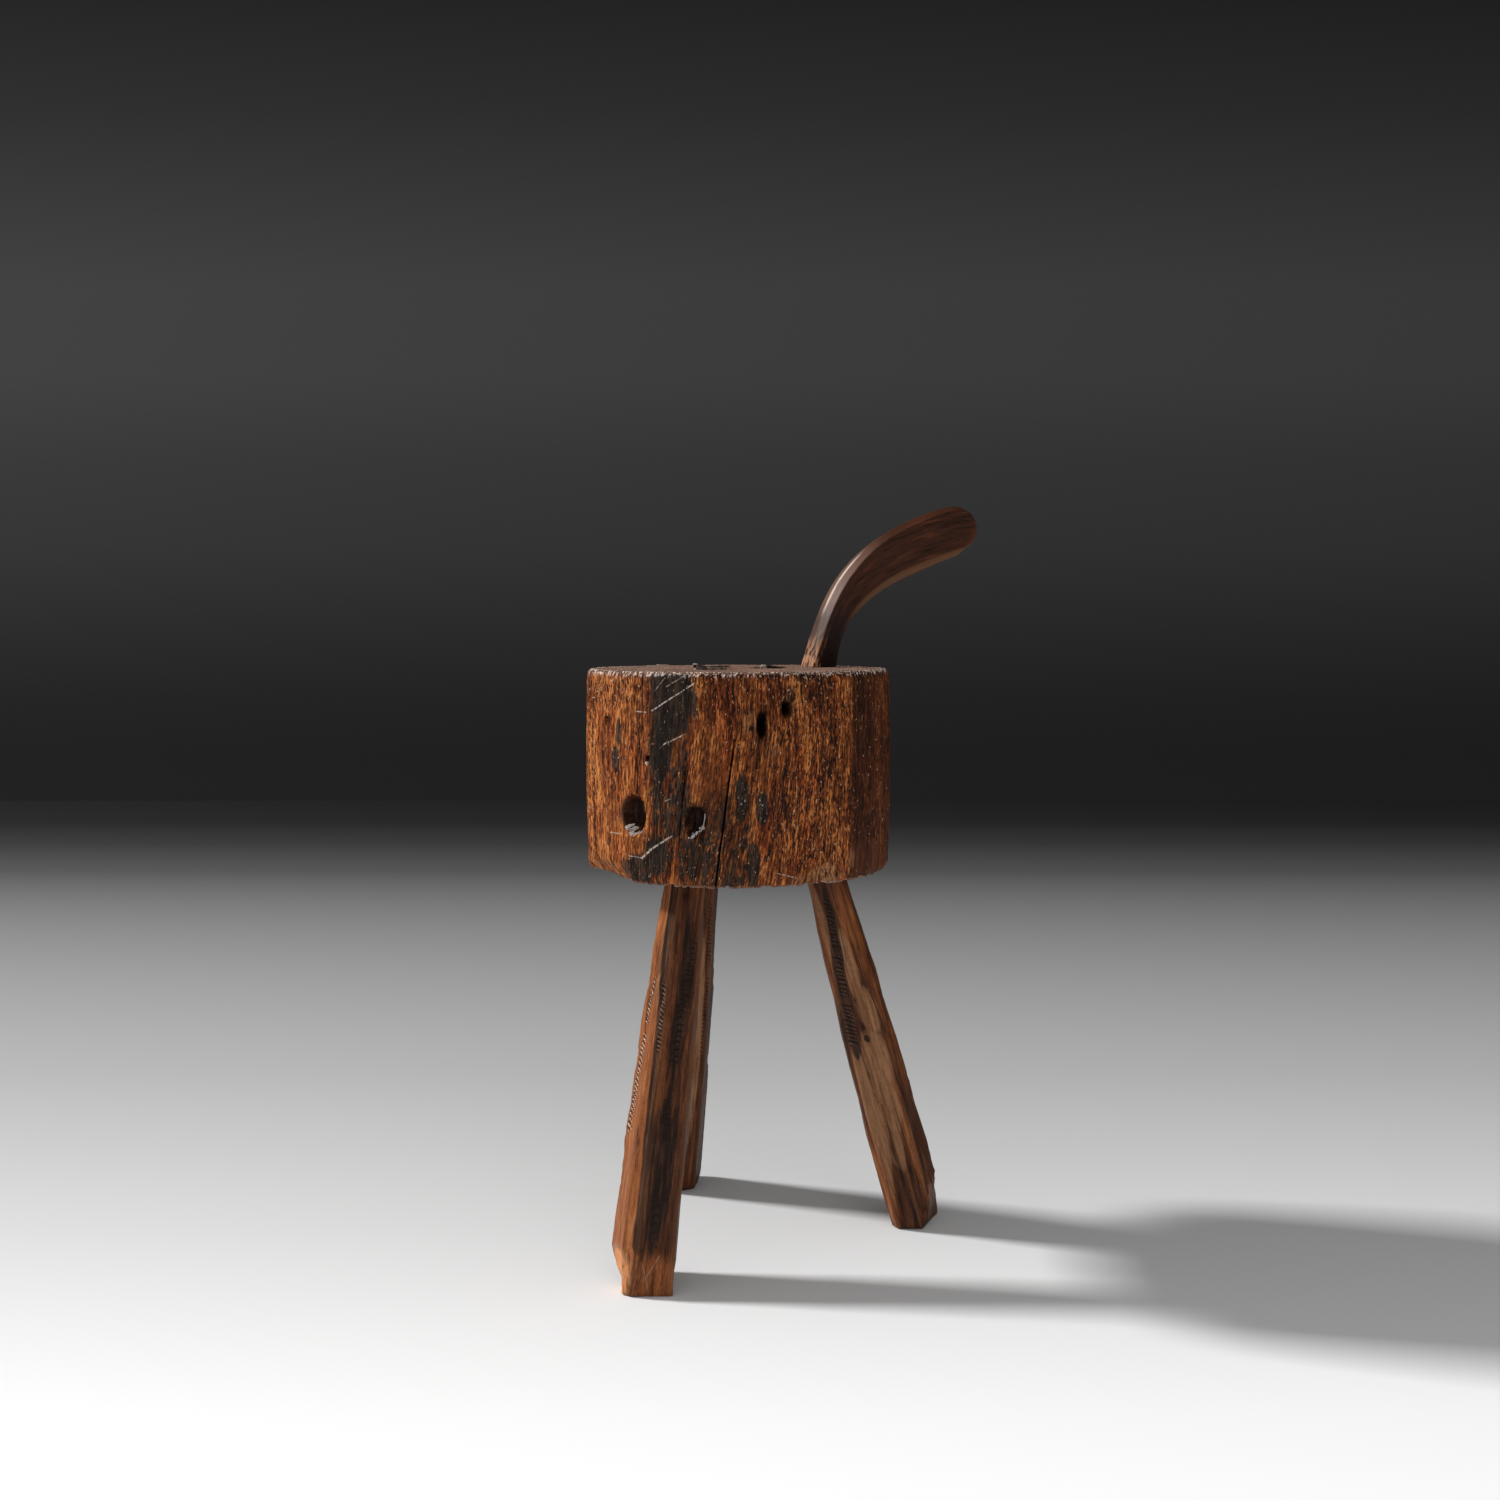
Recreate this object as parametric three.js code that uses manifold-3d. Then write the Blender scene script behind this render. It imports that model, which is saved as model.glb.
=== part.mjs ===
// A rustic three-legged stool: a section of log for a seat, three hewn legs and a curved handle.
// Millimetres, +Z up. Heights are measured from the floor and azimuths from +X, which is the stool's right.
import * as THREE from 'three';
import { mergeVertices } from 'three/addons/utils/BufferGeometryUtils.js';
import Module from 'manifold-3d';

const wasm = await Module();
wasm.setup();

// Clearances
const seatGap = 0.3; // left between any two pieces that seat on each other

// Seat block: a section of log that stands on its end grain
const seatHeight = 480;
const blockThickness = 165;
const blockRadius = 124;
const blockSwell = 1.6; // how far the middle of the side stands out
const outOfRound = 0.9; // half of the low swells in the log's plan
const fluteDepth = 0.5; // half of the low flutes that run down the side
const furrows = { count: 29, depth: 1.7, sharpness: 7, unevenness: 0.9 }; // narrow grooves between the flutes
const grainLean = { azimuth: -90.2, spread: 34 }; // where the grain leans most, and over how many degrees
const topArris = { height: 3.5, inset: 2.5 }; // the worn edge of the top
const bottomArris = { height: 5, inset: 3 }; // the worn edge of the underside
const blockColumns = 232; // points round the side
const wallShares = [0.12, 0.28, 0.45, 0.62, 0.78, 0.9]; // rings of points up the side, as shares of it
const boreSides = 32; // sides of a bored hole, and of the round tenon in it

// Hollows and holes in the block's side: azimuth, drop below the top, width, height and depth
const sideHollows = [
  { azimuth: -128.6, drop: 111, width: 23, height: 31, depth: 11 },
  { azimuth: -104.3, drop: 114, width: 17, height: 25, depth: 9 },
];
const sideHoles = [
  { azimuth: -81.2, drop: 40, width: 7, height: 21, depth: 15 },
  { azimuth: -72.2, drop: 28, width: 7, height: 12, depth: 13 },
  { azimuth: -144.2, drop: 38, width: 4, height: 6, depth: 7 },
  { azimuth: -122.5, drop: 67, width: 4, height: 5, depth: 7 },
];

// The drying check, a split that opens downwards along the grain and leans with it: the width is at the
// underside, and the start is how wide it already is at its upper end
const check = { azimuth: -90.2, turn: -8.4, drop: 44, start: 0.3, width: 2.6, depth: 16 };

// The lower edge is broken away at the left
const brokenEdge = { azimuth: -148, width: 74, rise: 9, inset: 11 };

// Legs: each leans outwards from its tenon in the block to its foot on the floor
const legTopRadius = 16.8; // of the hewn leg where it meets the block
const legFootRadius = 26.5; // of the hewn leg at its foot
const legTaperPower = 2; // the leg swells quickly below the block and runs nearly parallel lower down
const hewnWave = 0.7; // how far the strokes of the axe leave a flat's edge in or out
const hewnStroke = 46; // length of a stroke
const tenonRadius = 14;
const tenonProud = 2.5; // how far a tenon stands out of the top
const legLevels = 9; // sections between the foot's bevel and the block
const bevelShares = [0, 0.15, 0.45, 1]; // sections up the foot's bevel, as shares of its height

// Wedges: each is driven into a saw kerf across the top of a leg's tenon
const wedge = { headThickness: 5, tipThickness: 1.6, length: 38, proud: 3.3 };
const kerfBelowWedge = 4; // the kerf runs on past the wedge's tip

// Each leg's ridges, where two hewn flats meet: the turn round the leg, the ridge's reach as a share of the
// leg's radius, and the foot's bevel there, by how far it cuts in on the floor and how high it starts. Where a
// foot flares instead, it cuts in by less than nothing.
// A bevel power of 1 makes flat bevels, and a higher one makes them bulge.
const legs = [
  {
    name: 'front_left',
    azimuth: -123.6,
    footReach: 135.6,
    tenonReach: 40.4,
    wedgeTurn: 62,
    bevelPower: 1.1,
    ridges: [
      { turn: -61, reach: 1.03, inset: 13, height: 30 },
      { turn: -8, reach: 1.0, inset: 5, height: 37 },
      { turn: 18, reach: 1.03, inset: 4.4, height: 34 },
      { turn: 86, reach: 1.15, inset: -2, height: 60 },
      { turn: 122, reach: 0.94, inset: 0.6, height: 20 },
      { turn: 159, reach: 1.0, inset: 1, height: 12 },
      { turn: 204, reach: 1.02, inset: 2, height: 12 },
      { turn: 254, reach: 1.0, inset: 7, height: 24 },
    ],
  },
  {
    name: 'right',
    azimuth: 7.7,
    footReach: 159.2,
    tenonReach: 27,
    wedgeTurn: 100,
    bevelPower: 1.2,
    ridges: [
      { turn: -153, reach: 1.18, inset: 0.6, height: 9 },
      { turn: -138, reach: 1.23, inset: 0.8, height: 10 },
      { turn: -97, reach: 1.0, inset: 1.7, height: 14 },
      { turn: -72, reach: 1.03, inset: 12.7, height: 28 },
      { turn: -28, reach: 1.02, inset: 16, height: 46 },
      { turn: 22, reach: 1.0, inset: 6, height: 40 },
      { turn: 72, reach: 1.02, inset: 4, height: 24 },
      { turn: 117, reach: 1.0, inset: 3, height: 12 },
      { turn: 162, reach: 1.02, inset: 1.5, height: 9 },
    ],
  },
  {
    name: 'back',
    azimuth: 120.6,
    footReach: 123.5,
    tenonReach: 37,
    wedgeTurn: 15,
    bevelPower: 1.4,
    ridges: [
      { turn: -158, reach: 1.08, inset: 0.6, height: 10 },
      { turn: -112, reach: 1.0, inset: 1.5, height: 12 },
      { turn: -66, reach: 1.03, inset: 4, height: 18 },
      { turn: -20, reach: 1.0, inset: 6, height: 30 },
      { turn: 28, reach: 1.02, inset: 6, height: 32 },
      { turn: 76, reach: 1.03, inset: 4, height: 20 },
      { turn: 119, reach: 1.0, inset: 3, height: 14 },
      { turn: 158, reach: 1.02, inset: 2, height: 11 },
    ],
  },
];

// Handle: a curved arm cut from a thick plank, seen from its side. Its curves are measured outwards from the
// middle of its foot and up from the seat's top.
const handlePlace = { across: 69, back: 40, azimuth: 28 };
const handleThickness = { foot: 23, middle: 26, tip: 22 };
const outerCurve = [[-13, 0], [4.6, 54], [21.2, 113.2], [134, 141.6]];
const innerCurve = [[12.5, 0], [17.6, 59.5], [81.5, 74.6], [140, 97]];
const tipCorner = { control: [158.5, 145], end: [161.5, 123] };
const tipMiddle = [153.5, 109];
const outerChamfer = { foot: 1.6, tip: 5 }; // how far the outer edge's two flats fall away from its ridge
const innerChamfer = { foot: 1.5, tip: 6 };
const chamferLimit = 0.3; // the widest a chamfer may be, as a share of the arm's width
const handleStations = 34; // sections along the arm
const lastStationShare = 0.985; // the last section is a narrow flat, so that the tip closes
const handleTenon = { radius: 10.5, length: 70, lean: 11 };
const handleWedge = { headThickness: 4.4, tipThickness: 1.6, length: 34 };

const colours = {
  block: 0x6b3d22,
  leg: 0x6a3a22,
  wedge: 0x8a6a4a,
  handle: 0x47241a,
};

const rad = THREE.MathUtils.degToRad;
const { lerp } = THREE.MathUtils;
const undersideHeight = seatHeight - blockThickness;

// Joins rings of points, each counter-clockwise about the way they follow each other, into one closed body
function loft(rings) {
  const count = rings[0].length;
  const points = rings.flat();
  const index = [];
  for (let ring = 0; ring < rings.length - 1; ring++) {
    for (let side = 0; side < count; side++) {
      const next = (side + 1) % count;
      const low = ring * count;
      const high = low + count;
      index.push(low + side, low + next, high + next);
      index.push(low + side, high + next, high + side);
    }
  }
  const last = (rings.length - 1) * count;
  const firstMiddle = points.length;
  const lastMiddle = firstMiddle + 1;
  points.push(middleOf(rings[0]), middleOf(rings[rings.length - 1]));
  for (let side = 0; side < count; side++) {
    const next = (side + 1) % count;
    index.push(firstMiddle, next, side);
    index.push(lastMiddle, last + side, last + next);
  }
  const geometry = new THREE.BufferGeometry().setFromPoints(points);
  geometry.setIndex(index);
  return geometry;
}

function middleOf(ring) {
  const sum = new THREE.Vector3();
  for (const point of ring) sum.add(point);
  return sum.divideScalar(ring.length);
}

function toSolid(geometry) {
  const bare = geometry.clone();
  bare.deleteAttribute('normal');
  bare.deleteAttribute('uv');
  const merged = mergeVertices(bare, 1e-4);
  return new wasm.Manifold(
    new wasm.Mesh({
      numProp: 3,
      vertProperties: new Float32Array(merged.attributes.position.array),
      triVerts: new Uint32Array(merged.index.array),
    }),
  );
}

function toMesh(name, solid, colour, roughness) {
  const { vertProperties, triVerts } = solid.getMesh();
  const geometry = new THREE.BufferGeometry();
  geometry.setAttribute('position', new THREE.BufferAttribute(new Float32Array(vertProperties), 3));
  geometry.setIndex(new THREE.BufferAttribute(new Uint32Array(triVerts), 1));
  const look = { color: colour, roughness, metalness: 0, flatShading: true };
  const mesh = new THREE.Mesh(geometry, new THREE.MeshStandardMaterial(look));
  mesh.name = name;
  return mesh;
}

// A leg is drawn in the upright plane that it leans in, with X outwards from the block's axis
function legAxis(leg, height) {
  return lerp(leg.footReach, leg.tenonReach, height / seatHeight);
}

function leanOf(leg) {
  return Math.atan((leg.footReach - leg.tenonReach) / seatHeight);
}

// A level section of a round bar that leans: a circle drawn out along the lean
function leaningRing(axisX, lean, radius, height) {
  const longRadius = radius / Math.cos(lean);
  const ring = [];
  for (let side = 0; side < boreSides; side++) {
    const angle = (2 * Math.PI * side) / boreSides;
    ring.push(new THREE.Vector3(axisX + longRadius * Math.cos(angle), radius * Math.sin(angle), height));
  }
  return ring;
}

function leaningBar(axisAt, lean, radius, low, high) {
  return loft([leaningRing(axisAt(low), lean, radius, low), leaningRing(axisAt(high), lean, radius, high)]);
}

// A level section of a wedge or kerf, turned about the bar's axis
function slabRing(axisX, turn, thickness, width, height) {
  const across = new THREE.Vector3(Math.cos(turn), Math.sin(turn), 0);
  const along = new THREE.Vector3(-Math.sin(turn), Math.cos(turn), 0);
  const corners = [[1, -1], [1, 1], [-1, 1], [-1, -1]];
  return corners.map(([side, end]) =>
    new THREE.Vector3(axisX, 0, height)
      .addScaledVector(across, (side * thickness) / 2)
      .addScaledVector(along, (end * width) / 2),
  );
}

// The strokes of the axe leave each ridge a little in or out along its length
function hewnOffset(ridge, place, height) {
  return hewnWave * Math.sin((2 * Math.PI * height) / hewnStroke + 2.4 * place + rad(ridge.turn));
}

function ridgePoint(leg, ridge, place, height, inset) {
  const down = 1 - height / undersideHeight;
  const taper = lerp(legFootRadius, legTopRadius, (1 - down) ** legTaperPower);
  const radius = taper * ridge.reach + hewnOffset(ridge, place, height) - inset;
  const turn = rad(ridge.turn);
  return new THREE.Vector3(legAxis(leg, height) + radius * Math.cos(turn), radius * Math.sin(turn), height);
}

// The hewn leg stands on a level foot and ends under the block, in a level shoulder round its tenon
function makeLeg(leg) {
  const top = undersideHeight - seatGap;
  const highestBevel = Math.max(...leg.ridges.map((ridge) => ridge.height));
  const rings = bevelShares.map((share) => {
    const cut = (1 - share) ** leg.bevelPower;
    return leg.ridges.map((ridge, place) => {
      return ridgePoint(leg, ridge, place, share * ridge.height, cut * ridge.inset);
    });
  });
  for (let level = 1; level <= legLevels; level++) {
    const height = lerp(highestBevel, top, level / legLevels);
    rings.push(leg.ridges.map((ridge, place) => ridgePoint(leg, ridge, place, height, 0)));
  }
  const axisAt = (height) => legAxis(leg, height);
  const tenonTop = seatHeight + tenonProud;
  const tenonRoot = top - legTopRadius; // well inside the hewn leg, so that the two join
  const tenon = toSolid(leaningBar(axisAt, leanOf(leg), tenonRadius, tenonRoot, tenonTop));
  const kerfBottom = seatHeight + wedge.proud - wedge.length - kerfBelowWedge;
  const kerf = toSolid(wedgeSlab(leg, kerfBottom, 2 * tenonRadius, seatGap));
  return toSolid(loft(rings)).add(tenon).subtract(kerf);
}

// The wedge's taper, from a given height to above the tenon, with a gap at each of its faces
function wedgeSlab(leg, low, margin, gap) {
  const head = seatHeight + wedge.proud;
  const thicknessAt = (height) =>
    lerp(wedge.headThickness, wedge.tipThickness, (head - height) / wedge.length) + 2 * gap;
  const width = 2 * tenonRadius + margin;
  const turn = rad(leg.wedgeTurn);
  const high = head + margin;
  return loft([
    slabRing(legAxis(leg, low), turn, thicknessAt(low), width, low),
    slabRing(legAxis(leg, high), turn, thicknessAt(high), width, high),
  ]);
}

function makeWedge(leg) {
  const head = seatHeight + wedge.proud;
  const low = head - wedge.length;
  const slab = toSolid(wedgeSlab(leg, low, 2 * tenonRadius, 0));
  const bore = toSolid(leaningBar((height) => legAxis(leg, height), leanOf(leg), tenonRadius, low, head));
  return slab.intersect(bore);
}

// The log isn't quite round. The weather has cut low flutes and narrower furrows down its side: uneven waves
// that go a whole number of times round the log
function blockSideRadius(azimuth, rise) {
  const swell = blockSwell * Math.sin((Math.PI * rise) / blockThickness);
  const plan = outOfRound * (Math.sin(2 * azimuth + 0.5) + Math.sin(3 * azimuth + 2.2));
  const flute = fluteDepth * (Math.sin(23 * azimuth) * Math.sin(31 * azimuth) + Math.sin(41 * azimuth) / 2);
  const place = furrows.count * azimuth + furrows.unevenness * Math.sin(5 * azimuth + 1);
  const furrow = ((1 + Math.cos(place)) / 2) ** furrows.sharpness;
  const strength = 0.65 + 0.35 * Math.sin(7 * azimuth + (2 * rise) / blockThickness);
  return blockRadius + swell + plan + flute - furrows.depth * strength * furrow;
}

// On its way down the front of the log the grain turns aside, as the drying check in it does
function grainTurn(azimuth, rise) {
  const far = THREE.MathUtils.euclideanModulo(azimuth - rad(grainLean.azimuth) + Math.PI, 2 * Math.PI) - Math.PI;
  const belowCheck = Math.max(0, blockThickness - rise - check.drop);
  const share = belowCheck / (blockThickness + check.depth - check.drop);
  return rad(check.turn) * share * Math.exp(-((far / rad(grainLean.spread)) ** 2));
}

function blockRing(rise, inset) {
  const ring = [];
  for (let column = 0; column < blockColumns; column++) {
    const azimuth = (2 * Math.PI * column) / blockColumns;
    const radius = blockSideRadius(azimuth, rise) - inset;
    const leaning = azimuth + grainTurn(azimuth, rise);
    const height = undersideHeight + rise;
    ring.push(new THREE.Vector3(radius * Math.cos(leaning), radius * Math.sin(leaning), height));
  }
  return ring;
}

// Places a cutter that is drawn with X outwards at a spot on the block's side
function onBlockSide(geometry, azimuth, drop) {
  return geometry.translate(blockRadius, 0, seatHeight - drop).rotateZ(rad(azimuth));
}

// An egg-shaped scoop: wide at the surface, with its deepest point inside
function scoop({ azimuth, drop, width, height, depth }) {
  const egg = new THREE.SphereGeometry(1, 20, 14).scale(depth, width / 2, height / 2);
  return toSolid(onBlockSide(egg, azimuth, drop));
}

// The split is a wedge of air, shallow at its upper end and three times as deep at the underside
function dryingCheck() {
  const rings = [];
  const mouth = blockRadius + check.depth; // well outside the log
  for (const share of [1, 0.5, 0]) {
    const azimuth = rad(check.azimuth + check.turn * share);
    const drop = lerp(check.drop, blockThickness + check.depth, share);
    const half = lerp(check.start, check.width, share) / 2;
    const out = new THREE.Vector3(Math.cos(azimuth), Math.sin(azimuth), 0);
    const side = new THREE.Vector3(-Math.sin(azimuth), Math.cos(azimuth), 0);
    const root = blockRadius - lerp(check.depth / 3, check.depth, share);
    const at = (reach, offset) =>
      new THREE.Vector3(0, 0, seatHeight - drop).addScaledVector(out, reach).addScaledVector(side, offset);
    const spread = (half * (mouth - root)) / (blockRadius - root);
    rings.push([at(root, 0), at(mouth, -spread), at(mouth, spread)]);
  }
  return toSolid(loft(rings));
}

// A slanting box that takes the lower edge off
function brokenEdgeCutter() {
  const { azimuth, width, rise, inset } = brokenEdge;
  const size = 4 * inset;
  const slope = Math.atan2(rise, inset);
  const box = new THREE.BoxGeometry(size, width, size).translate(size / 2, 0, -size / 2);
  box.rotateY(-(Math.PI / 2 - slope)).translate(-inset, 0, 0);
  return toSolid(onBlockSide(box, azimuth, blockThickness));
}

// Each leg's bore leans with the leg and goes right through, and the handle's hole is blind
function makeBlock() {
  const rings = [
    blockRing(0, bottomArris.inset),
    blockRing(bottomArris.height, 0),
    ...wallShares.map((share) => blockRing(share * blockThickness, 0)),
    blockRing(blockThickness - topArris.height, 0),
    blockRing(blockThickness, topArris.inset),
  ];
  let block = toSolid(loft(rings));
  for (const leg of legs) {
    const axisAt = (height) => legAxis(leg, height);
    const low = undersideHeight - tenonRadius;
    const high = seatHeight + tenonRadius;
    const bore = leaningBar(axisAt, leanOf(leg), tenonRadius + seatGap, low, high);
    block = block.subtract(toSolid(bore.rotateZ(rad(leg.azimuth))));
  }
  const blindHole = handleBar(handleTenon.radius + seatGap, -seatGap, handleTenon.radius);
  block = block.subtract(toSolid(placeHandle(blindHole)));
  for (const hollow of [...sideHollows, ...sideHoles]) {
    block = block.subtract(scoop(hollow));
  }
  return block.subtract(dryingCheck()).subtract(brokenEdgeCutter());
}

function placeHandle(geometry) {
  const { across, back, azimuth } = handlePlace;
  return geometry.rotateZ(rad(azimuth)).translate(across, back, seatHeight);
}

// The handle's round tenon, or its blind hole: the length runs below the seat's top
function handleBar(radius, below, above) {
  const lean = rad(handleTenon.lean);
  const low = -handleTenon.length + below;
  return leaningBar((height) => height * Math.tan(lean), -lean, radius, low, above);
}

// The outer edge runs over the top and round the tip, and the inner edge comes up to meet it
function handleEdges() {
  const toPoint = ([across, up]) => new THREE.Vector2(across, up);
  const middle = toPoint(tipMiddle);
  const corner = [outerCurve[3], tipCorner.control, tipCorner.end].map(toPoint);
  const outer = new THREE.CurvePath();
  outer.add(new THREE.CubicBezierCurve(...outerCurve.map(toPoint)));
  outer.add(new THREE.QuadraticBezierCurve(...corner));
  outer.add(new THREE.LineCurve(corner[2], middle));
  const inner = new THREE.CurvePath();
  inner.add(new THREE.CubicBezierCurve(...innerCurve.map(toPoint)));
  inner.add(new THREE.LineCurve(toPoint(innerCurve[3]), middle));
  return { outer, inner };
}

// A section from the inner edge to the outer one: thickest halfway along the arm, with a chamfer along each
// inner corner and a ridge down the middle of the outer edge
function handleSection(outer, inner, share) {
  const width = outer.distanceTo(inner);
  const ends = share < 0.5 ? handleThickness.foot : handleThickness.tip;
  const half = lerp(handleThickness.middle, ends, (2 * Math.abs(share - 0.5)) ** 2) / 2;
  const widest = width * chamferLimit;
  const fall = Math.min(lerp(outerChamfer.foot, outerChamfer.tip, share), widest);
  const chamfer = Math.min(lerp(innerChamfer.foot, innerChamfer.tip, Math.min(1, 2 * share)), widest);
  const profile = [
    [width, 0],
    [width - fall, -half],
    [chamfer, -half],
    [0, chamfer - half],
    [0, half - chamfer],
    [chamfer, half],
    [width - fall, half],
  ];
  return profile.map(([fromInner, side]) => {
    const point = inner.clone().lerp(outer, fromInner / width);
    return new THREE.Vector3(point.x, side, point.y);
  });
}

// The hidden wedge's taper, from the bottom of the blind hole upwards
function handleWedgeSlab(gap, below, above) {
  const lean = rad(handleTenon.lean);
  const foot = -handleTenon.length;
  const thicknessAt = (rise) =>
    lerp(handleWedge.headThickness, handleWedge.tipThickness, rise / handleWedge.length) + 2 * gap;
  const width = 4 * handleTenon.radius; // wider than the tenon
  const ringAt = (rise) => {
    const height = foot + rise;
    return slabRing(height * Math.tan(lean), Math.PI / 2, thicknessAt(rise), width, height);
  };
  return loft([ringAt(-below), ringAt(handleWedge.length + above)]);
}

// The arm stands a gap above the seat, and its tenon reaches up into it so that the two join
function makeHandle() {
  const { outer, inner } = handleEdges();
  const rings = [];
  for (let station = 0; station <= handleStations; station++) {
    const share = station / handleStations;
    const lift = new THREE.Vector2(0, seatGap * (1 - share));
    const outerPoint = outer.getPointAt(share * lastStationShare).add(lift);
    const innerPoint = inner.getPointAt(share * lastStationShare).add(lift);
    rings.push(handleSection(outerPoint, innerPoint, share));
  }
  const tenon = toSolid(handleBar(handleTenon.radius, 0, handleTenon.radius));
  const kerf = toSolid(handleWedgeSlab(seatGap, handleTenon.radius, kerfBelowWedge));
  return toSolid(loft(rings)).add(tenon).subtract(kerf);
}

function makeHandleWedge() {
  return toSolid(handleWedgeSlab(0, 0, 0)).intersect(toSolid(handleBar(handleTenon.radius, 0, 0)));
}

const stool = new THREE.Group();
stool.add(toMesh('seat_block', makeBlock(), colours.block, 0.85));

for (const leg of legs) {
  const frame = new THREE.Group();
  frame.rotation.z = rad(leg.azimuth);
  frame.add(toMesh(`leg_${leg.name}`, makeLeg(leg), colours.leg, 0.5));
  frame.add(toMesh(`wedge_${leg.name}`, makeWedge(leg), colours.wedge, 0.7));
  stool.add(frame);
}

const handleFrame = new THREE.Group();
handleFrame.position.set(handlePlace.across, handlePlace.back, seatHeight);
handleFrame.rotation.z = rad(handlePlace.azimuth);
handleFrame.add(toMesh('handle', makeHandle(), colours.handle, 0.4));
handleFrame.add(toMesh('handle_wedge', makeHandleWedge(), colours.wedge, 0.7));
stool.add(handleFrame);

// The part's origin is at the bottom centre of its box
const box = new THREE.Box3().setFromObject(stool, true);
const centre = box.getCenter(new THREE.Vector3());
stool.position.set(-centre.x, -centre.y, -box.min.z);

const part = new THREE.Group();
part.add(stool);

export default part;
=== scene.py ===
# A rustic log stool: its looks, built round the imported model. Lengths are in millimetres up to the point where a
# mesh is finished, and azimuths are in degrees from +X, the stool's right. The photograph looks along +Y.
from functools import partialmethod
from math import atan, atan2, cos, degrees, exp, hypot, inf, pi, radians, sin, tan

import bmesh
import bpy
import numpy as np
from mathutils import Euler, Matrix, Vector, noise
from mathutils.bvhtree import BVHTree


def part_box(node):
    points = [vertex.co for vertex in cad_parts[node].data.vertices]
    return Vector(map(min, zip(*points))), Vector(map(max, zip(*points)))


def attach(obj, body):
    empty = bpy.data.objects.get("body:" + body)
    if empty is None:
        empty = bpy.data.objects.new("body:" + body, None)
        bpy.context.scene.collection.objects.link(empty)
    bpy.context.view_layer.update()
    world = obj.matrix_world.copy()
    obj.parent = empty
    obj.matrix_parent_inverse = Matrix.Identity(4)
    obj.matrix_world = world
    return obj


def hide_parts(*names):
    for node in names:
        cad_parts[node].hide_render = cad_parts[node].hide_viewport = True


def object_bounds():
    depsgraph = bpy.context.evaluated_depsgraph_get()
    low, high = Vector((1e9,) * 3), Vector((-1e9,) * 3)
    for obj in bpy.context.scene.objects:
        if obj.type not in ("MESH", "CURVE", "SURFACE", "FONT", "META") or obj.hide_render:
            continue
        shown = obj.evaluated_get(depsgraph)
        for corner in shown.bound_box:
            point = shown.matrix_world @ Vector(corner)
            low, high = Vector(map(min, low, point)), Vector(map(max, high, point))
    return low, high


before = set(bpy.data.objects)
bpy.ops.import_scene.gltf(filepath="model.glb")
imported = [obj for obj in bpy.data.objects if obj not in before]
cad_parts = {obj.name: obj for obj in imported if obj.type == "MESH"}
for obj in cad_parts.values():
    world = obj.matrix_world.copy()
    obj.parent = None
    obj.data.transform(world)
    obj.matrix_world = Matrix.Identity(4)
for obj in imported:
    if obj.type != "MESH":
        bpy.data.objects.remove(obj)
cad_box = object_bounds()

MM = 0.001

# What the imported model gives
seat_low, seat_high = (Vector(corner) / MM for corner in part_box("seat_block"))
SEAT_TOP = seat_high.z
SEAT_UNDERSIDE = seat_low.z
SEAT_THICKNESS = SEAT_TOP - SEAT_UNDERSIDE
SEAT_GAP = 0.3
BORE_SIDES = 64

# The log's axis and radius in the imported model's frame
LOG_AXIS = Vector((-44.224, 3.441, 0))
LOG_RADIUS = 124
FACE_MARGIN = 0.4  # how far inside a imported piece's ends its surface is looked up

# The grid that wraps the log
LOG_COLUMNS = 900
BACK_SEAM = 89.8  # azimuth where the grid's ends meet, away from the front
WALL_ROWS = 70
TOP_RINGS = 22
UNDERSIDE_RINGS = 8

# The grain leans as it runs down the front of the log, most where the drying check is
GRAIN_LEAN = {"azimuth": -90.2, "spread": 34, "from_drop": 44, "per_mm": -8.4 / 137}

# Marks on the log's side: azimuth and drop of the middle, half width in degrees, half height, strength
STAINS = [
    (-138.2, 68.5, 2.6, 11, 1), (-136.6, 48, 2.2, 12, 0.5), (-88, 95, 2.5, 20, 1), (-80.9, 102, 2.2, 15, 1),
    (-84.3, 146, 2.6, 19, 1), (-128, 153, 9.5, 12, 0.75), (-119, 141, 6.5, 16, 0.85), (-108, 142, 4.2, 24, 0.75),
    (-99, 146, 4.5, 24, 0.65), (-113.5, 98, 8.6, 34, 0.66), (-96, 130, 13, 46, 0.5), (-88.6, 158, 2.6, 8, 0.6),
    (-64, 5, 3.4, 6, 0.5), (-56.3, 11, 4.2, 9, 0.5), (-71, 16, 3.4, 8, 0.4), (20, 60, 9, 50, 0.6),
    (74, 120, 12, 30, 0.7), (150, 40, 8, 34, 0.6), (117, 95, 4, 22, 0.7),
]
# A dark band that stops at the ridge between two facets
BAND = [(-113.2, 22, 9.4, 32, 1), (-117.4, 60, 5.6, 30, 0.9), (-112, 62, 6.5, 20, 0.5)]
BAND_EDGE = -122
# Hollows, whose colour is painted with shade
CAVITIES = [
    (-130.2, 110, 6.2, 15, 1), (-104.8, 112, 4.2, 13, 1), (-80.6, 40, 1.8, 11, 1), (-71.5, 28, 2.2, 7, 1),
    (-142.3, 38, 1.3, 4, 0.9), (-123.2, 66.5, 1.1, 3, 0.9), (-74.7, 51.7, 0.9, 3, 0.8), (-143.5, 135, 1.6, 4, 0.7),
]
STRAW = [
    (-55, 157, 8, 8.5, 1), (-43.5, 148, 3, 9, 0.8), (-66, 160, 4, 5, 0.6), (-85.2, 38, 2.6, 9, 0.7),
    (-77.5, 60, 2.2, 5, 0.6),
]
SMOOTH = [(-33, 148, 11, 15, 1), (-113.5, 30, 9, 40, 0.6), (-98, 92, 7, 30, 0.45)]
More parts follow.
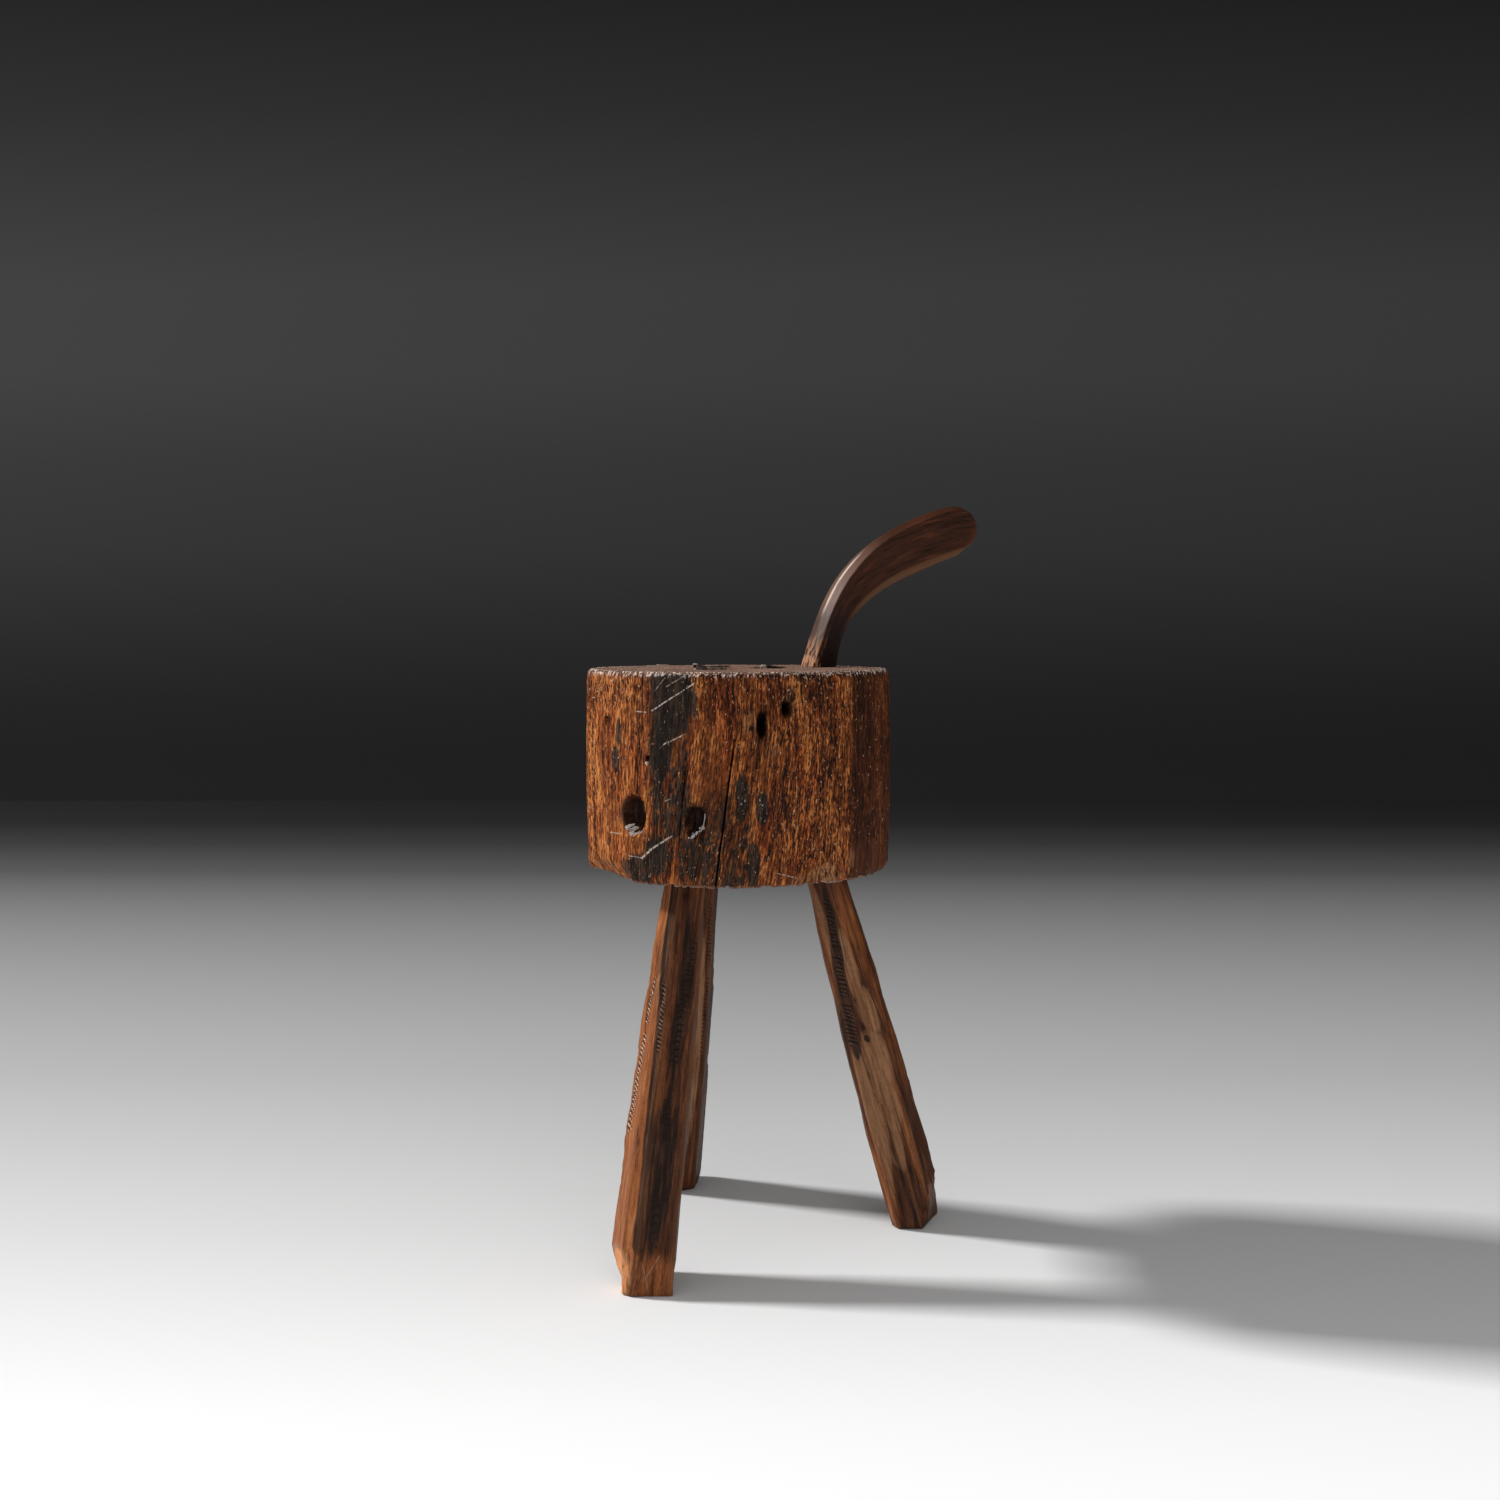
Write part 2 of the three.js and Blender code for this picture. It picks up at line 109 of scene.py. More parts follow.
ROUGH = [
    (-142, 14, 19, 20, 1), (-160, 80, 7, 80, 0.8), (-139, 85, 4.5, 9, 0.9), (-60, 30, 20, 40, 0.6),
    (-58, 110, 17, 60, 0.65), (-102, 8, 8, 10, 0.6),
]

# Scratches and frayed lips, from azimuth and drop to azimuth and drop, with half width and strength
PALE_LINES = [
    ((-120.7, 29.7), (-105, 8.6), 0.8, 0.9), ((-115.3, 11.3), (-108.9, 3.2), 0.6, 0.5),
    ((-119.6, 14.2), (-115.8, 4.6), 0.6, 0.4), ((-116, 55), (-107.7, 46.6), 0.8, 0.8),
    ((-117.4, 57.8), (-115.2, 53.6), 0.6, 0.3), ((-131.5, 143.3), (-125.4, 143.9), 0.8, 0.6),
    ((-125.4, 143.9), (-121.8, 136.8), 1.3, 1), ((-121.8, 136.8), (-113.5, 125.3), 1.1, 0.95),
    ((-127.7, 30.6), (-123.5, 31.1), 0.8, 0.7), ((-142.9, 127.5), (-135.2, 126.8), 0.8, 0.6),
    ((-115.7, 98.5), (-113.7, 96.5), 0.6, 0.5), ((-75.2, 153.4), (-67.8, 157.8), 0.8, 0.6),
]
LIPS = [
    ((-132.8, 121), (-129.6, 125.8), 2), ((-129.6, 125.8), (-125, 119), 1.7), ((-125, 119), (-123.6, 111), 0.8),
    ((-106.3, 125), (-102.6, 118.6), 1.6), ((-102.6, 118.6), (-101.6, 108), 0.6),
    ((-123.2, 69.8), (-122.9, 70.4), 0.9),
]
# Deep places painted with shade: from azimuth and drop to azimuth and drop, with half width
DEEP_PLACES = [
    ((-125.8, 117), (-123.6, 110), 1.6), ((-103.2, 103), (-103.2, 115), 2.2), ((-130.6, 101), (-131.4, 113), 2.6),
    ((-106, 103), (-106, 117), 1.6), ((-80, 31), (-81, 49), 1.5), ((-71.6, 24), (-71.4, 31), 2.2),
]

# How much lighter or darker the side is, by azimuth
SIDE_TONES = (
    (-180, 0.13), (-158, 0.25), (-124, 0.09), (-121, 0), (-94, 0.1), (-84, 0.08), (-74, 0.05), (-48, 0.04), (-42, 0),
    (60, 0.05), (180, 0.1),
)

# Two drying checks, and where a hewn facet of the side begins
CHECK = {"azimuth": -90.2, "half_width": 0.1, "from_drop": 44, "depth": 6, "reach": 2}
FINE_CHECK = {"azimuth": -106.6, "from_drop": 52, "to_drop": 158, "depth": 1.6, "half_width": 0.5}
FACET_AZIMUTH = -44.6
FIBRES_PROUD = 0.3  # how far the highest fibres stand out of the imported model's side

SPLINTER_AZIMUTH = 124.5  # a splinter that stands on the far edge of the top
BROKEN_CORNER = -158  # where a piece has broken off the lower edge

# Drying checks on the top: azimuth, nearest and farthest from the middle, depth
TOP_CHECKS = [
    (-31, 16, 84, 3.6), (38.5, 70, 121, 4.2), (66, 10, 58, 3), (171, 24, 96, 4.4), (-76.5, 62, 118, 3.8),
    (-152, 50, 90, 2.6), (102, 80, 122, 3.4),
]

# Legs. The axis of each is a line in the upright plane at its azimuth, given by its distance from the log's
# axis at the floor and at the seat's top. A ridge is where two hewn flats meet, given by its turn from that
# plane. Ticks are rows of notches left by the tool, painted with shade inside: from azimuth and height to azimuth
# and height, half width in degrees, pitch, depth and how strongly a painted glint shows beside each. The lit edge
# is where the side that catches the light ends, by height: before it the colour is painted lit, just past it
# painted shade. Patches of colour are given by azimuth, height, half width, half height and strength; a pale
# patch stronger than 1 is freshly cut wood.
LEGS = {
    "front_left": {
        "azimuth": -123.6, "foot_reach": 135.6, "tenon_reach": 40.4, "proud": (-15, -2.5, 5),
        "lit_edge": ((0, -110), (8, -108), (30, -97), (38, -112), (100, -111), (200, -118), (270, -130)),
        "ridges": (-61, -8, 18, 86, 122, 159, 204, 254),
        "ticks": [
            ((-143.3, 240), (-158, 200), 14, 3.6, 1.3, 1), ((-158, 200), (-171.6, 112), 15, 3.7, 1.3, 1),
            ((-112.7, 240), (-104.4, 180), 8, 3.3, 1, 0.5), ((-47.7, 270), (-61.5, 234.5), 9, 4.2, 0.9, 0.2),
            ((-61.5, 234.5), (-71.8, 168), 11, 4.6, 1, 0.25), ((-81, 152), (-74.8, 127), 10, 4.4, 0.8, 0.1),
            ((-78.2, 76), (-66, 28), 8, 8.5, 0.6, 0), ((150, 210), (158, 120), 8, 3.3, 0.6, 0.3),
        ],
        "dark": [(-66, 225, 22, 80, 0.75), (-75, 140, 14, 24, 0.5), (-78, 94, 34, 66, 0.75), (60, 160, 30, 90, 0.5)],
        "pale": [(-122, 250, 9, 40, 0.7), (-150, 14, 44, 22, 1.6)],
        "orange": [(-95, 170, 14, 130, 0.45), (-70, 10, 40, 22, 1)],
        "dark_lines": [
            ((-100, 178), (-104, 120), 0.8, 0.7), ((-62, 120), (-64, 40), 0.8, 0.6),
            ((-76, 108), (-77, 62), 0.6, 0.5),
        ],
        "pale_lines": [
            ((-84, 12), (-60, 30), 0.5, 0.5), ((-92, 26), (-74, 6), 0.5, 0.4), ((-140, 30), (-128, 12), 0.6, 0.7),
        ],
    },
    "right": {
        "azimuth": 7.7, "foot_reach": 159.2, "tenon_reach": 27, "proud": (-6.5, 11, 2.8),
        "lit_edge": (),
        "ridges": (-153, -138, -97, -72, -28, 22, 72, 117, 162),
        "ticks": [
            ((-106, 292), (-114.8, 241.7), 12, 3.6, 0.9, 0.3), ((-114.8, 241.7), (-118.2, 200.8), 14, 3.6, 1, 0.3),
            ((-118.2, 200.8), (-127, 158), 14, 3.6, 1, 0.3), ((-63.4, 212), (-49, 170), 6, 5, 0.4, 0),
            ((-52, 110), (-50, 60), 6, 5, 0.4, 0), ((60, 230), (66, 140), 8, 3.4, 0.6, 0.3),
        ],
        "dark": [
            (-106, 265, 10, 40, 0.9), (-118, 218, 12, 38, 1), (-124, 174, 14, 26, 1), (-97, 167.5, 7, 3.5, 1),
            (-103, 50, 9, 38, 0.42), (-78, 30, 12, 30, 0.38), (110, 150, 30, 90, 0.5),
        ],
        "pale": [
            (-91, 228, 17, 36, 1), (-78, 192, 26, 22, 1), (-86, 150, 32, 30, 0.95), (-95, 112, 30, 34, 0.85),
            (-98, 78, 20, 28, 0.75), (-124, 100, 12, 80, 0.8), (-126, 262, 9, 40, 0.7), (-48, 20, 16, 22, 0.6),
        ],
        "orange": [
            (-60, 262, 30, 44, 0.9), (-40, 180, 20, 60, 0.5), (-66, 90, 12, 60, 0.7), (-135, 45, 16, 50, 0.8),
            (-140, 240, 14, 60, 0.8),
        ],
        "dark_lines": [
            ((-62, 246), (-63.4, 207), 1, 0.8), ((-63.4, 207), (-49, 171), 1.4, 0.9),
            ((-58, 160), (-54, 109), 1, 0.8), ((-54, 109), (-52, 50), 1.2, 0.8), ((-80, 118), (-72, 40), 1, 0.8),
            ((-103, 110), (-100, 40), 1.3, 0.7), ((-88, 280), (-96, 236), 0.9, 0.6),
        ],
        "pale_lines": [],
    },
    "back": {
        "azimuth": 120.6, "foot_reach": 123.5, "tenon_reach": 37, "proud": (-9, 6, 0.6),
        "lit_edge": (),
        "ridges": (-158, -112, -66, -20, 28, 76, 119, 158),
        "ticks": [
            ((-45, 280), (-41, 215), 9, 3.6, 0.7, 0.2), ((-41, 215), (-48, 120), 9, 3.8, 0.7, 0.2),
            ((100, 240), (106, 130), 8, 3.2, 0.6, 0.3), ((160, 200), (165, 110), 8, 3.2, 0.6, 0.3),
        ],
        "dark": [(-20, 170, 22, 120, 0.6), (100, 90, 24, 60, 0.5)],
        "pale": [(-62, 150, 16, 110, 1), (80, 190, 20, 60, 0.7)],
        "orange": [(140, 150, 40, 100, 0.5)],
        "dark_lines": [((70, 260), (76, 190), 1, 0.6), ((-76, 240), (-72, 100), 0.8, 0.6)],
        "pale_lines": [],
    },
}
FLAT_SHARES = (0, 0.06, 0.14, 0.24, 0.35, 0.46, 0.57, 0.68, 0.79, 0.88, 0.95)
LEG_ROW_HEIGHT = 0.6
TENON_ROW_HEIGHT = 6
TENON_RADIUS = 14
TENON_SUNK = 0.6
FOOT_WEAR = 0.8
RIDGE_WEAR = 0.2
STROKE = 46  # along the leg, between two strokes of the axe

# The handle in its own upright plane: outwards from the middle of its foot, and up from the seat's top
HANDLE_FOOT = LOG_AXIS + Vector((69, 40, SEAT_TOP))
HANDLE_AZIMUTH = 28
OUTER_CURVE = ((-13, 0), (4.6, 54), (21.2, 113.2), (134, 141.6))
INNER_CURVE = ((12.5, 0), (17.6, 59.5), (81.5, 74.6), (140, 97))
TIP_CORNER = ((134, 141.6), (158.5, 145), (161.5, 123))
TIP_MIDDLE = (153.5, 109)
HANDLE_THICKNESS = {"foot": 23, "middle": 26, "tip": 22}
OUTER_CHAMFER = {"foot": 1.6, "tip": 5}
INNER_CHAMFER = {"foot": 1.5, "tip": 6}
CHAMFER_LIMIT = 0.3
HANDLE_TENON = {"radius": 10.5, "length": 70, "lean": 11}
HANDLE_STATIONS = 130
LAST_STATION_SHARE = 0.985

# The photograph's view
CAMERA_PLACE = LOG_AXIS + Vector((10.3, -1250.7, 513.2))
CAMERA_PITCH = 4.65
CAMERA_LENS = 36  # on a sensor as wide, as the picture is as wide as its viewing distance

# What each corner of a mesh carries for its material, three numbers to each
ATTRIBUTES = ("grain", "marks", "finish", "wear")
NONE = (0, 0, 0)
END_GRAIN = (1, 0, 0)


def lerp(low, high, share):
    return low + (high - low) * share


def smooth(low, high, value):
    """0 below low, 1 above high and an even rise between them."""
    share = min(1, max(0, (value - low) / (high - low)))
    return share * share * (3 - 2 * share)


def turn_between(azimuth, other):
    """The shortest turn from one azimuth to another, in degrees."""
    return (azimuth - other + 180) % 360 - 180


def patches(marks, azimuth, level):
    """How strongly the soft-edged marks cover a place, given by its azimuth and its drop or height."""
    total = 0
    for middle, middle_level, half_width, half_height, strength in marks:
        across = turn_between(azimuth, middle) / half_width
        along = (level - middle_level) / half_height
        if abs(across) < 1.4 and abs(along) < 1.4:
            total = max(total, strength * (1 - smooth(0.65, 1.2, hypot(across, along))))
    return total


def drawn_out(place, across, along, octaves=2):
    """Noise that is drawn out along Z, between about -1 and 1."""
    point = Vector((place.x / across, place.y / across, place.z / along))
    return noise.fractal(point, 0.8, 2.1, octaves)


def furrow(value):
    """Turns noise into narrow furrows: 0 between them and 1 in the middle of one."""
    return max(0, 1 - abs(value) * 3.2)


def polar(azimuth, radius, height=0):
    """A place, or a way to go, from its azimuth, how far out it is and its height."""
    turn = radians(azimuth)
    return Vector((radius * cos(turn), radius * sin(turn), height))


# Meshes

def rolled_grid(columns, rows, place):
    """A closed body: a grid rolled round its axis, with its first and last rows drawn in to a point.

    place(column, row) gives a corner's position and its attributes."""
    body = bmesh.new()
    bmesh.ops.create_grid(body, x_segments=columns, y_segments=rows, size=1)
    layers = [body.verts.layers.float_vector.new(name) for name in ATTRIBUTES]
    for corner in body.verts:
        column = round((corner.co.x + 1) * columns / 2) % columns
        row = round((corner.co.y + 1) * rows / 2)
        position, attributes = place(column, row)
        corner.co = position
        for layer, value in zip(layers, attributes):
            corner[layer] = value
    bmesh.ops.remove_doubles(body, verts=body.verts, dist=1e-4)
    bmesh.ops.recalc_face_normals(body, faces=body.faces)
    return body


def add_plain_attributes(body):
    """Writes each corner's own place as its grain, and end grain as its finish."""
    layers = [body.verts.layers.float_vector.new(name) for name in ATTRIBUTES]
    for corner in body.verts:
        for layer, value in zip(layers, (corner.co * MM, NONE, END_GRAIN, NONE)):
            corner[layer] = value


def add_object(name, data):
    """Puts a mesh, a lamp or a camera into the scene."""
    thing = bpy.data.objects.new(name, data)
    bpy.context.scene.collection.objects.link(thing)
    return thing


def make_piece(name, body, sharp_angle=None):
    """A mesh object from a body in millimetres, shaded smooth but for edges above the sharp angle."""
    bmesh.ops.scale(body, vec=(MM, MM, MM), verts=body.verts)
    if sharp_angle is not None:
        for face in body.faces:
            face.smooth = True
        for edge in body.edges:
            edge.smooth = edge.calc_face_angle(pi) < radians(sharp_angle)
    mesh = bpy.data.meshes.new(name)
    body.to_mesh(mesh)
    body.free()
    return add_object(name, mesh)


def cut_out(piece, bodies):
    """Cuts bodies in millimetres out of a finished piece."""
    cutters = [make_piece(f"{piece.name}_cutter_{place}", body) for place, body in enumerate(bodies)]
    for cutter in cutters:
        modifier = piece.modifiers.new("cut", "BOOLEAN")
        modifier.operation = "DIFFERENCE"
        modifier.solver = "EXACT"
        modifier.object = cutter
    bpy.context.view_layer.update()
    evaluated = piece.evaluated_get(bpy.context.evaluated_depsgraph_get())
    result = bpy.data.meshes.new_from_object(evaluated)
    piece.modifiers.clear()
    old = piece.data
    piece.data = result
    bpy.data.meshes.remove(old)
    for cutter in cutters:
        bpy.data.meshes.remove(cutter.data)  # its object goes with it


def leaning_cylinder(low, high, radius):
    """A round bar from one point to another."""
    body = bmesh.new()
    length = (high - low).length
    bmesh.ops.create_cone(body, cap_ends=True, segments=BORE_SIDES, radius1=radius, radius2=radius, depth=length)
    turn = (high - low).to_track_quat("Z", "Y").to_matrix().to_4x4()
    bmesh.ops.transform(body, matrix=Matrix.Translation((low + high) / 2) @ turn, verts=body.verts)
    add_plain_attributes(body)
    return body


def node_body(node):
    """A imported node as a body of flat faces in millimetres."""
    body = bmesh.new()
    body.from_mesh(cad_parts[node].data)
    bmesh.ops.scale(body, vec=(1 / MM, 1 / MM, 1 / MM), verts=body.verts)
    bmesh.ops.remove_doubles(body, verts=body.verts, dist=1e-3)
    bmesh.ops.dissolve_limit(body, angle_limit=radians(0.5), verts=body.verts, edges=body.edges)
    bmesh.ops.recalc_face_normals(body, faces=body.faces)
    return body


def node_surface(node):
    """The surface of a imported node, in millimetres, for finding where a ray meets it."""
    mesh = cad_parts[node].data
    corners = [corner.co / MM for corner in mesh.vertices]
    return BVHTree.FromPolygons(corners, [tuple(face.vertices) for face in mesh.polygons])


def radius_at(surface, axis_point, azimuth, start_radius):
    """How far a node's surface is from a point on its axis, looking level along an azimuth from outside."""
    outwards = polar(azimuth, 1)
    hit = surface.ray_cast(axis_point + outwards * start_radius, -outwards, start_radius)[0]
    return start_radius if hit is None else (hit.xy - axis_point.xy).length


# Seat

def grain_turn(azimuth, drop):
    """How far the grain that starts at an azimuth on top has turned at a drop, in degrees."""
    weight = exp(-((turn_between(azimuth, GRAIN_LEAN["azimuth"]) / GRAIN_LEAN["spread"]) ** 2))
    return GRAIN_LEAN["per_mm"] * max(0, drop - GRAIN_LEAN["from_drop"]) * weight


def wall_relief(grain, drop, rough, calm):
    """How deep the weather has cut into the side at a place. Less than nothing where a fibre stands out."""
    depth = 0.6 * furrow(drawn_out(grain, 3, 50))
    depth += 0.4 * furrow(drawn_out(grain, 1.7, 20, 1))
    depth += 0.5 * smooth(0.25, 0.7, drawn_out(grain, 4, 12) + 0.25 * rough)
    depth += 0.7 * rough * smooth(0, 0.5, drawn_out(grain, 1.8, 4))
    near_top = 1.5 * (1 - smooth(0, 6, drop)) * smooth(0, 0.5, drawn_out(grain, 2, 6, 3))
    near_foot = 2.2 * smooth(SEAT_THICKNESS - 7, SEAT_THICKNESS, drop)
    depth += near_top + near_foot * smooth(-0.1, 0.6, drawn_out(grain, 4.6, 30, 3))
    return depth * (1 - 0.75 * calm) - FIBRES_PROUD


def fine_check_depth(azimuth, drop):
    """How deep the finer of the two drying checks is."""
    far = abs(turn_between(azimuth, FINE_CHECK["azimuth"])) / FINE_CHECK["half_width"]
    if far > 1:
        return 0
    along = smooth(0, 30, drop - FINE_CHECK["from_drop"]) * smooth(0, 12, FINE_CHECK["to_drop"] - drop)
    return FINE_CHECK["depth"] * along * (1 - far)


def splinter_share(azimuth, radius):
    """1 on the splinter that stands on the far edge of the top, 0 off it."""
    return smooth(3.4, 2.4, abs(turn_between(azimuth, SPLINTER_AZIMUTH))) * smooth(0.93, 0.97, radius / LOG_RADIUS)


def top_relief(place, azimuth, radius):
    """How far the worn end grain lies below the seat's height."""
    worn = max(0, 0.1 + 0.35 * noise.fractal(place / 34, 0.8, 2, 3))
    pores = 0.3 * furrow(noise.noise(place / 2.6))
    split = 0
    for middle, near, far, depth in TOP_CHECKS:
        off = abs(turn_between(azimuth, middle)) * radius / 60
        if off < 0.9:
            along = smooth(near - 6, near + 6, radius) * (1 - smooth(far - 10, far + 2, radius))
            split = max(split, depth * along * (1 - off / 0.9))
    ragged = 1.1 * smooth(LOG_RADIUS - 5, LOG_RADIUS, radius)
    ragged *= smooth(0, 0.6, noise.fractal(place / 3.4, 0.8, 2.1, 3))
    return lerp(worn + pores + split + ragged, -0.9, splinter_share(azimuth, radius))


def box_reach(azimuth):
    """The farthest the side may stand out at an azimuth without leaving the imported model's box."""
    left = LOG_AXIS.x - cad_box[0][0] / MM - 0.05
    across = -cos(radians(azimuth))
    return left / across if across > 0.5 else inf


def make_seat():
    """The log, with its side weathered along the grain and its top worn."""
    surface = node_surface("seat_block")
    stations = [("underside", ring / UNDERSIDE_RINGS) for ring in range(UNDERSIDE_RINGS + 1)]
    stations += [("wall", row / WALL_ROWS) for row in range(1, WALL_ROWS)]
    stations += [("top", 1 - ring / TOP_RINGS) for ring in range(TOP_RINGS + 1)]

    def packed_radius(azimuth, height):
        axis_point = LOG_AXIS.copy()
        axis_point.z = min(SEAT_TOP - FACE_MARGIN, max(SEAT_UNDERSIDE + FACE_MARGIN, height))
        return radius_at(surface, axis_point, azimuth, LOG_RADIUS + 20)

    def place(column, row):
        zone, share = stations[row]
        on_wall = zone == "wall"
        start = BACK_SEAM - 360 + column * 360 / LOG_COLUMNS
        drop = {"underside": SEAT_THICKNESS, "wall": SEAT_THICKNESS * (1 - share), "top": 0}[zone]
        height = SEAT_TOP - drop
        azimuth = start + grain_turn(start, drop)
        stain, band, cavity, straw, rough, calm = (
            patches(marks, azimuth, drop) if on_wall or share > 0.97 else 0
            for marks in (STAINS, BAND, CAVITIES, STRAW, ROUGH, SMOOTH)
        )
        stain = max(stain, band * smooth(-0.9, 0.5, turn_between(azimuth, BAND_EDGE)))
        crack = 0
        off = turn_between(start, CHECK["azimuth"])
        if on_wall and abs(off) < CHECK["half_width"]:
            crack = smooth(0, 24, drop - CHECK["from_drop"])
        if on_wall and abs(off) < CHECK["reach"]:
            # one narrow cleft from lip to lip
            lips = [packed_radius(azimuth + turn, height) for turn in (-CHECK["reach"] - off, CHECK["reach"] - off)]
            radius = lerp(*lips, 0.5 + 0.5 * off / CHECK["reach"]) - CHECK["depth"] * crack
        else:
            radius = packed_radius(azimuth, height)
        if on_wall:
            grain = polar(start, LOG_RADIUS, height)
            depth = wall_relief(grain, drop, rough, calm) + fine_check_depth(start, drop)
            depth += 1.3 * smooth(0, 3, azimuth - FACET_AZIMUTH) * (1 - smooth(-36, -18, azimuth))
            radius = min(radius - depth, box_reach(azimuth))
        else:
            radius *= share
            flat_place = polar(azimuth, radius)
            grain = polar(start, radius, height)
        if zone == "top":
            depth = top_relief(flat_place, azimuth, radius)
            height -= depth
            # the top has no straw or cavities: these carry how near its rim is, and its splinter
            straw = smooth(0.955, 1, share)
            cavity = splinter_share(azimuth, radius)
            radius -= 1.2 * smooth(0.97, 1, share) * smooth(-0.2, 0.6, noise.noise(flat_place / 5))
        elif zone == "underside":
            depth = max(0, 0.5 + noise.fractal(flat_place / 12, 0.8, 2, 3))
            chipped = smooth(0, 0.5, noise.fractal(flat_place / 9, 0.8, 2, 3)) * smooth(0.8, 1, share)
            corner = smooth(11, 3, abs(turn_between(azimuth, BROKEN_CORNER))) * smooth(0.88, 1, share)
            height += 0.6 * depth + 2.2 * chipped + 5 * corner
        darker = smooth(-1, 1.5, azimuth - FACET_AZIMUTH) * (1 - smooth(35, 60, azimuth))
        finish = (0 if on_wall else 1, straw, rough)
        position = LOG_AXIS + polar(azimuth, radius, height)
        return position, (grain * MM, (stain, cavity, crack), finish, (depth, calm, darker))

    return make_piece("log_seat", rolled_grid(LOG_COLUMNS, len(stations) - 1, place), 60)


# Legs

def leg_axis(leg, height):
    """The middle of a leg at a height."""
    return LOG_AXIS + polar(leg["azimuth"], lerp(leg["foot_reach"], leg["tenon_reach"], height / SEAT_TOP), height)


def notches(ticks, azimuth, height):
    """How deep the rows of tool marks are at a place on a leg, and how strongly a painted glint shows beside one."""
    deepest, glint = 0, 0
    for (first, first_height), (last, last_height), half_width, pitch, depth, shine in ticks:
        along = (height - first_height) / (last_height - first_height)
        if not 0 < along < 1:
            continue
        off = turn_between(azimuth, first + turn_between(last, first) * along)
        off /= half_width * (0.8 + 0.5 * noise.noise(Vector((height / 5, half_width, 0))))
        if abs(off) > 1:
            continue
        slanted = (height + 0.5 * pitch * off) / pitch
        wander = 0.35 * noise.noise(Vector((height / 9, pitch, azimuth / 20)))
        phase = (slanted + wander) % 1
        ends = smooth(0, 0.12, along) * smooth(0, 0.12, 1 - along) * (1 - off * off)
        deepest = max(deepest, depth * ends * max(0, 1 - abs(phase - 0.5) * 3.6))
        glint = max(glint, shine * ends * max(0, 1 - abs(phase - 0.08) * 4.5))
    return deepest, glint


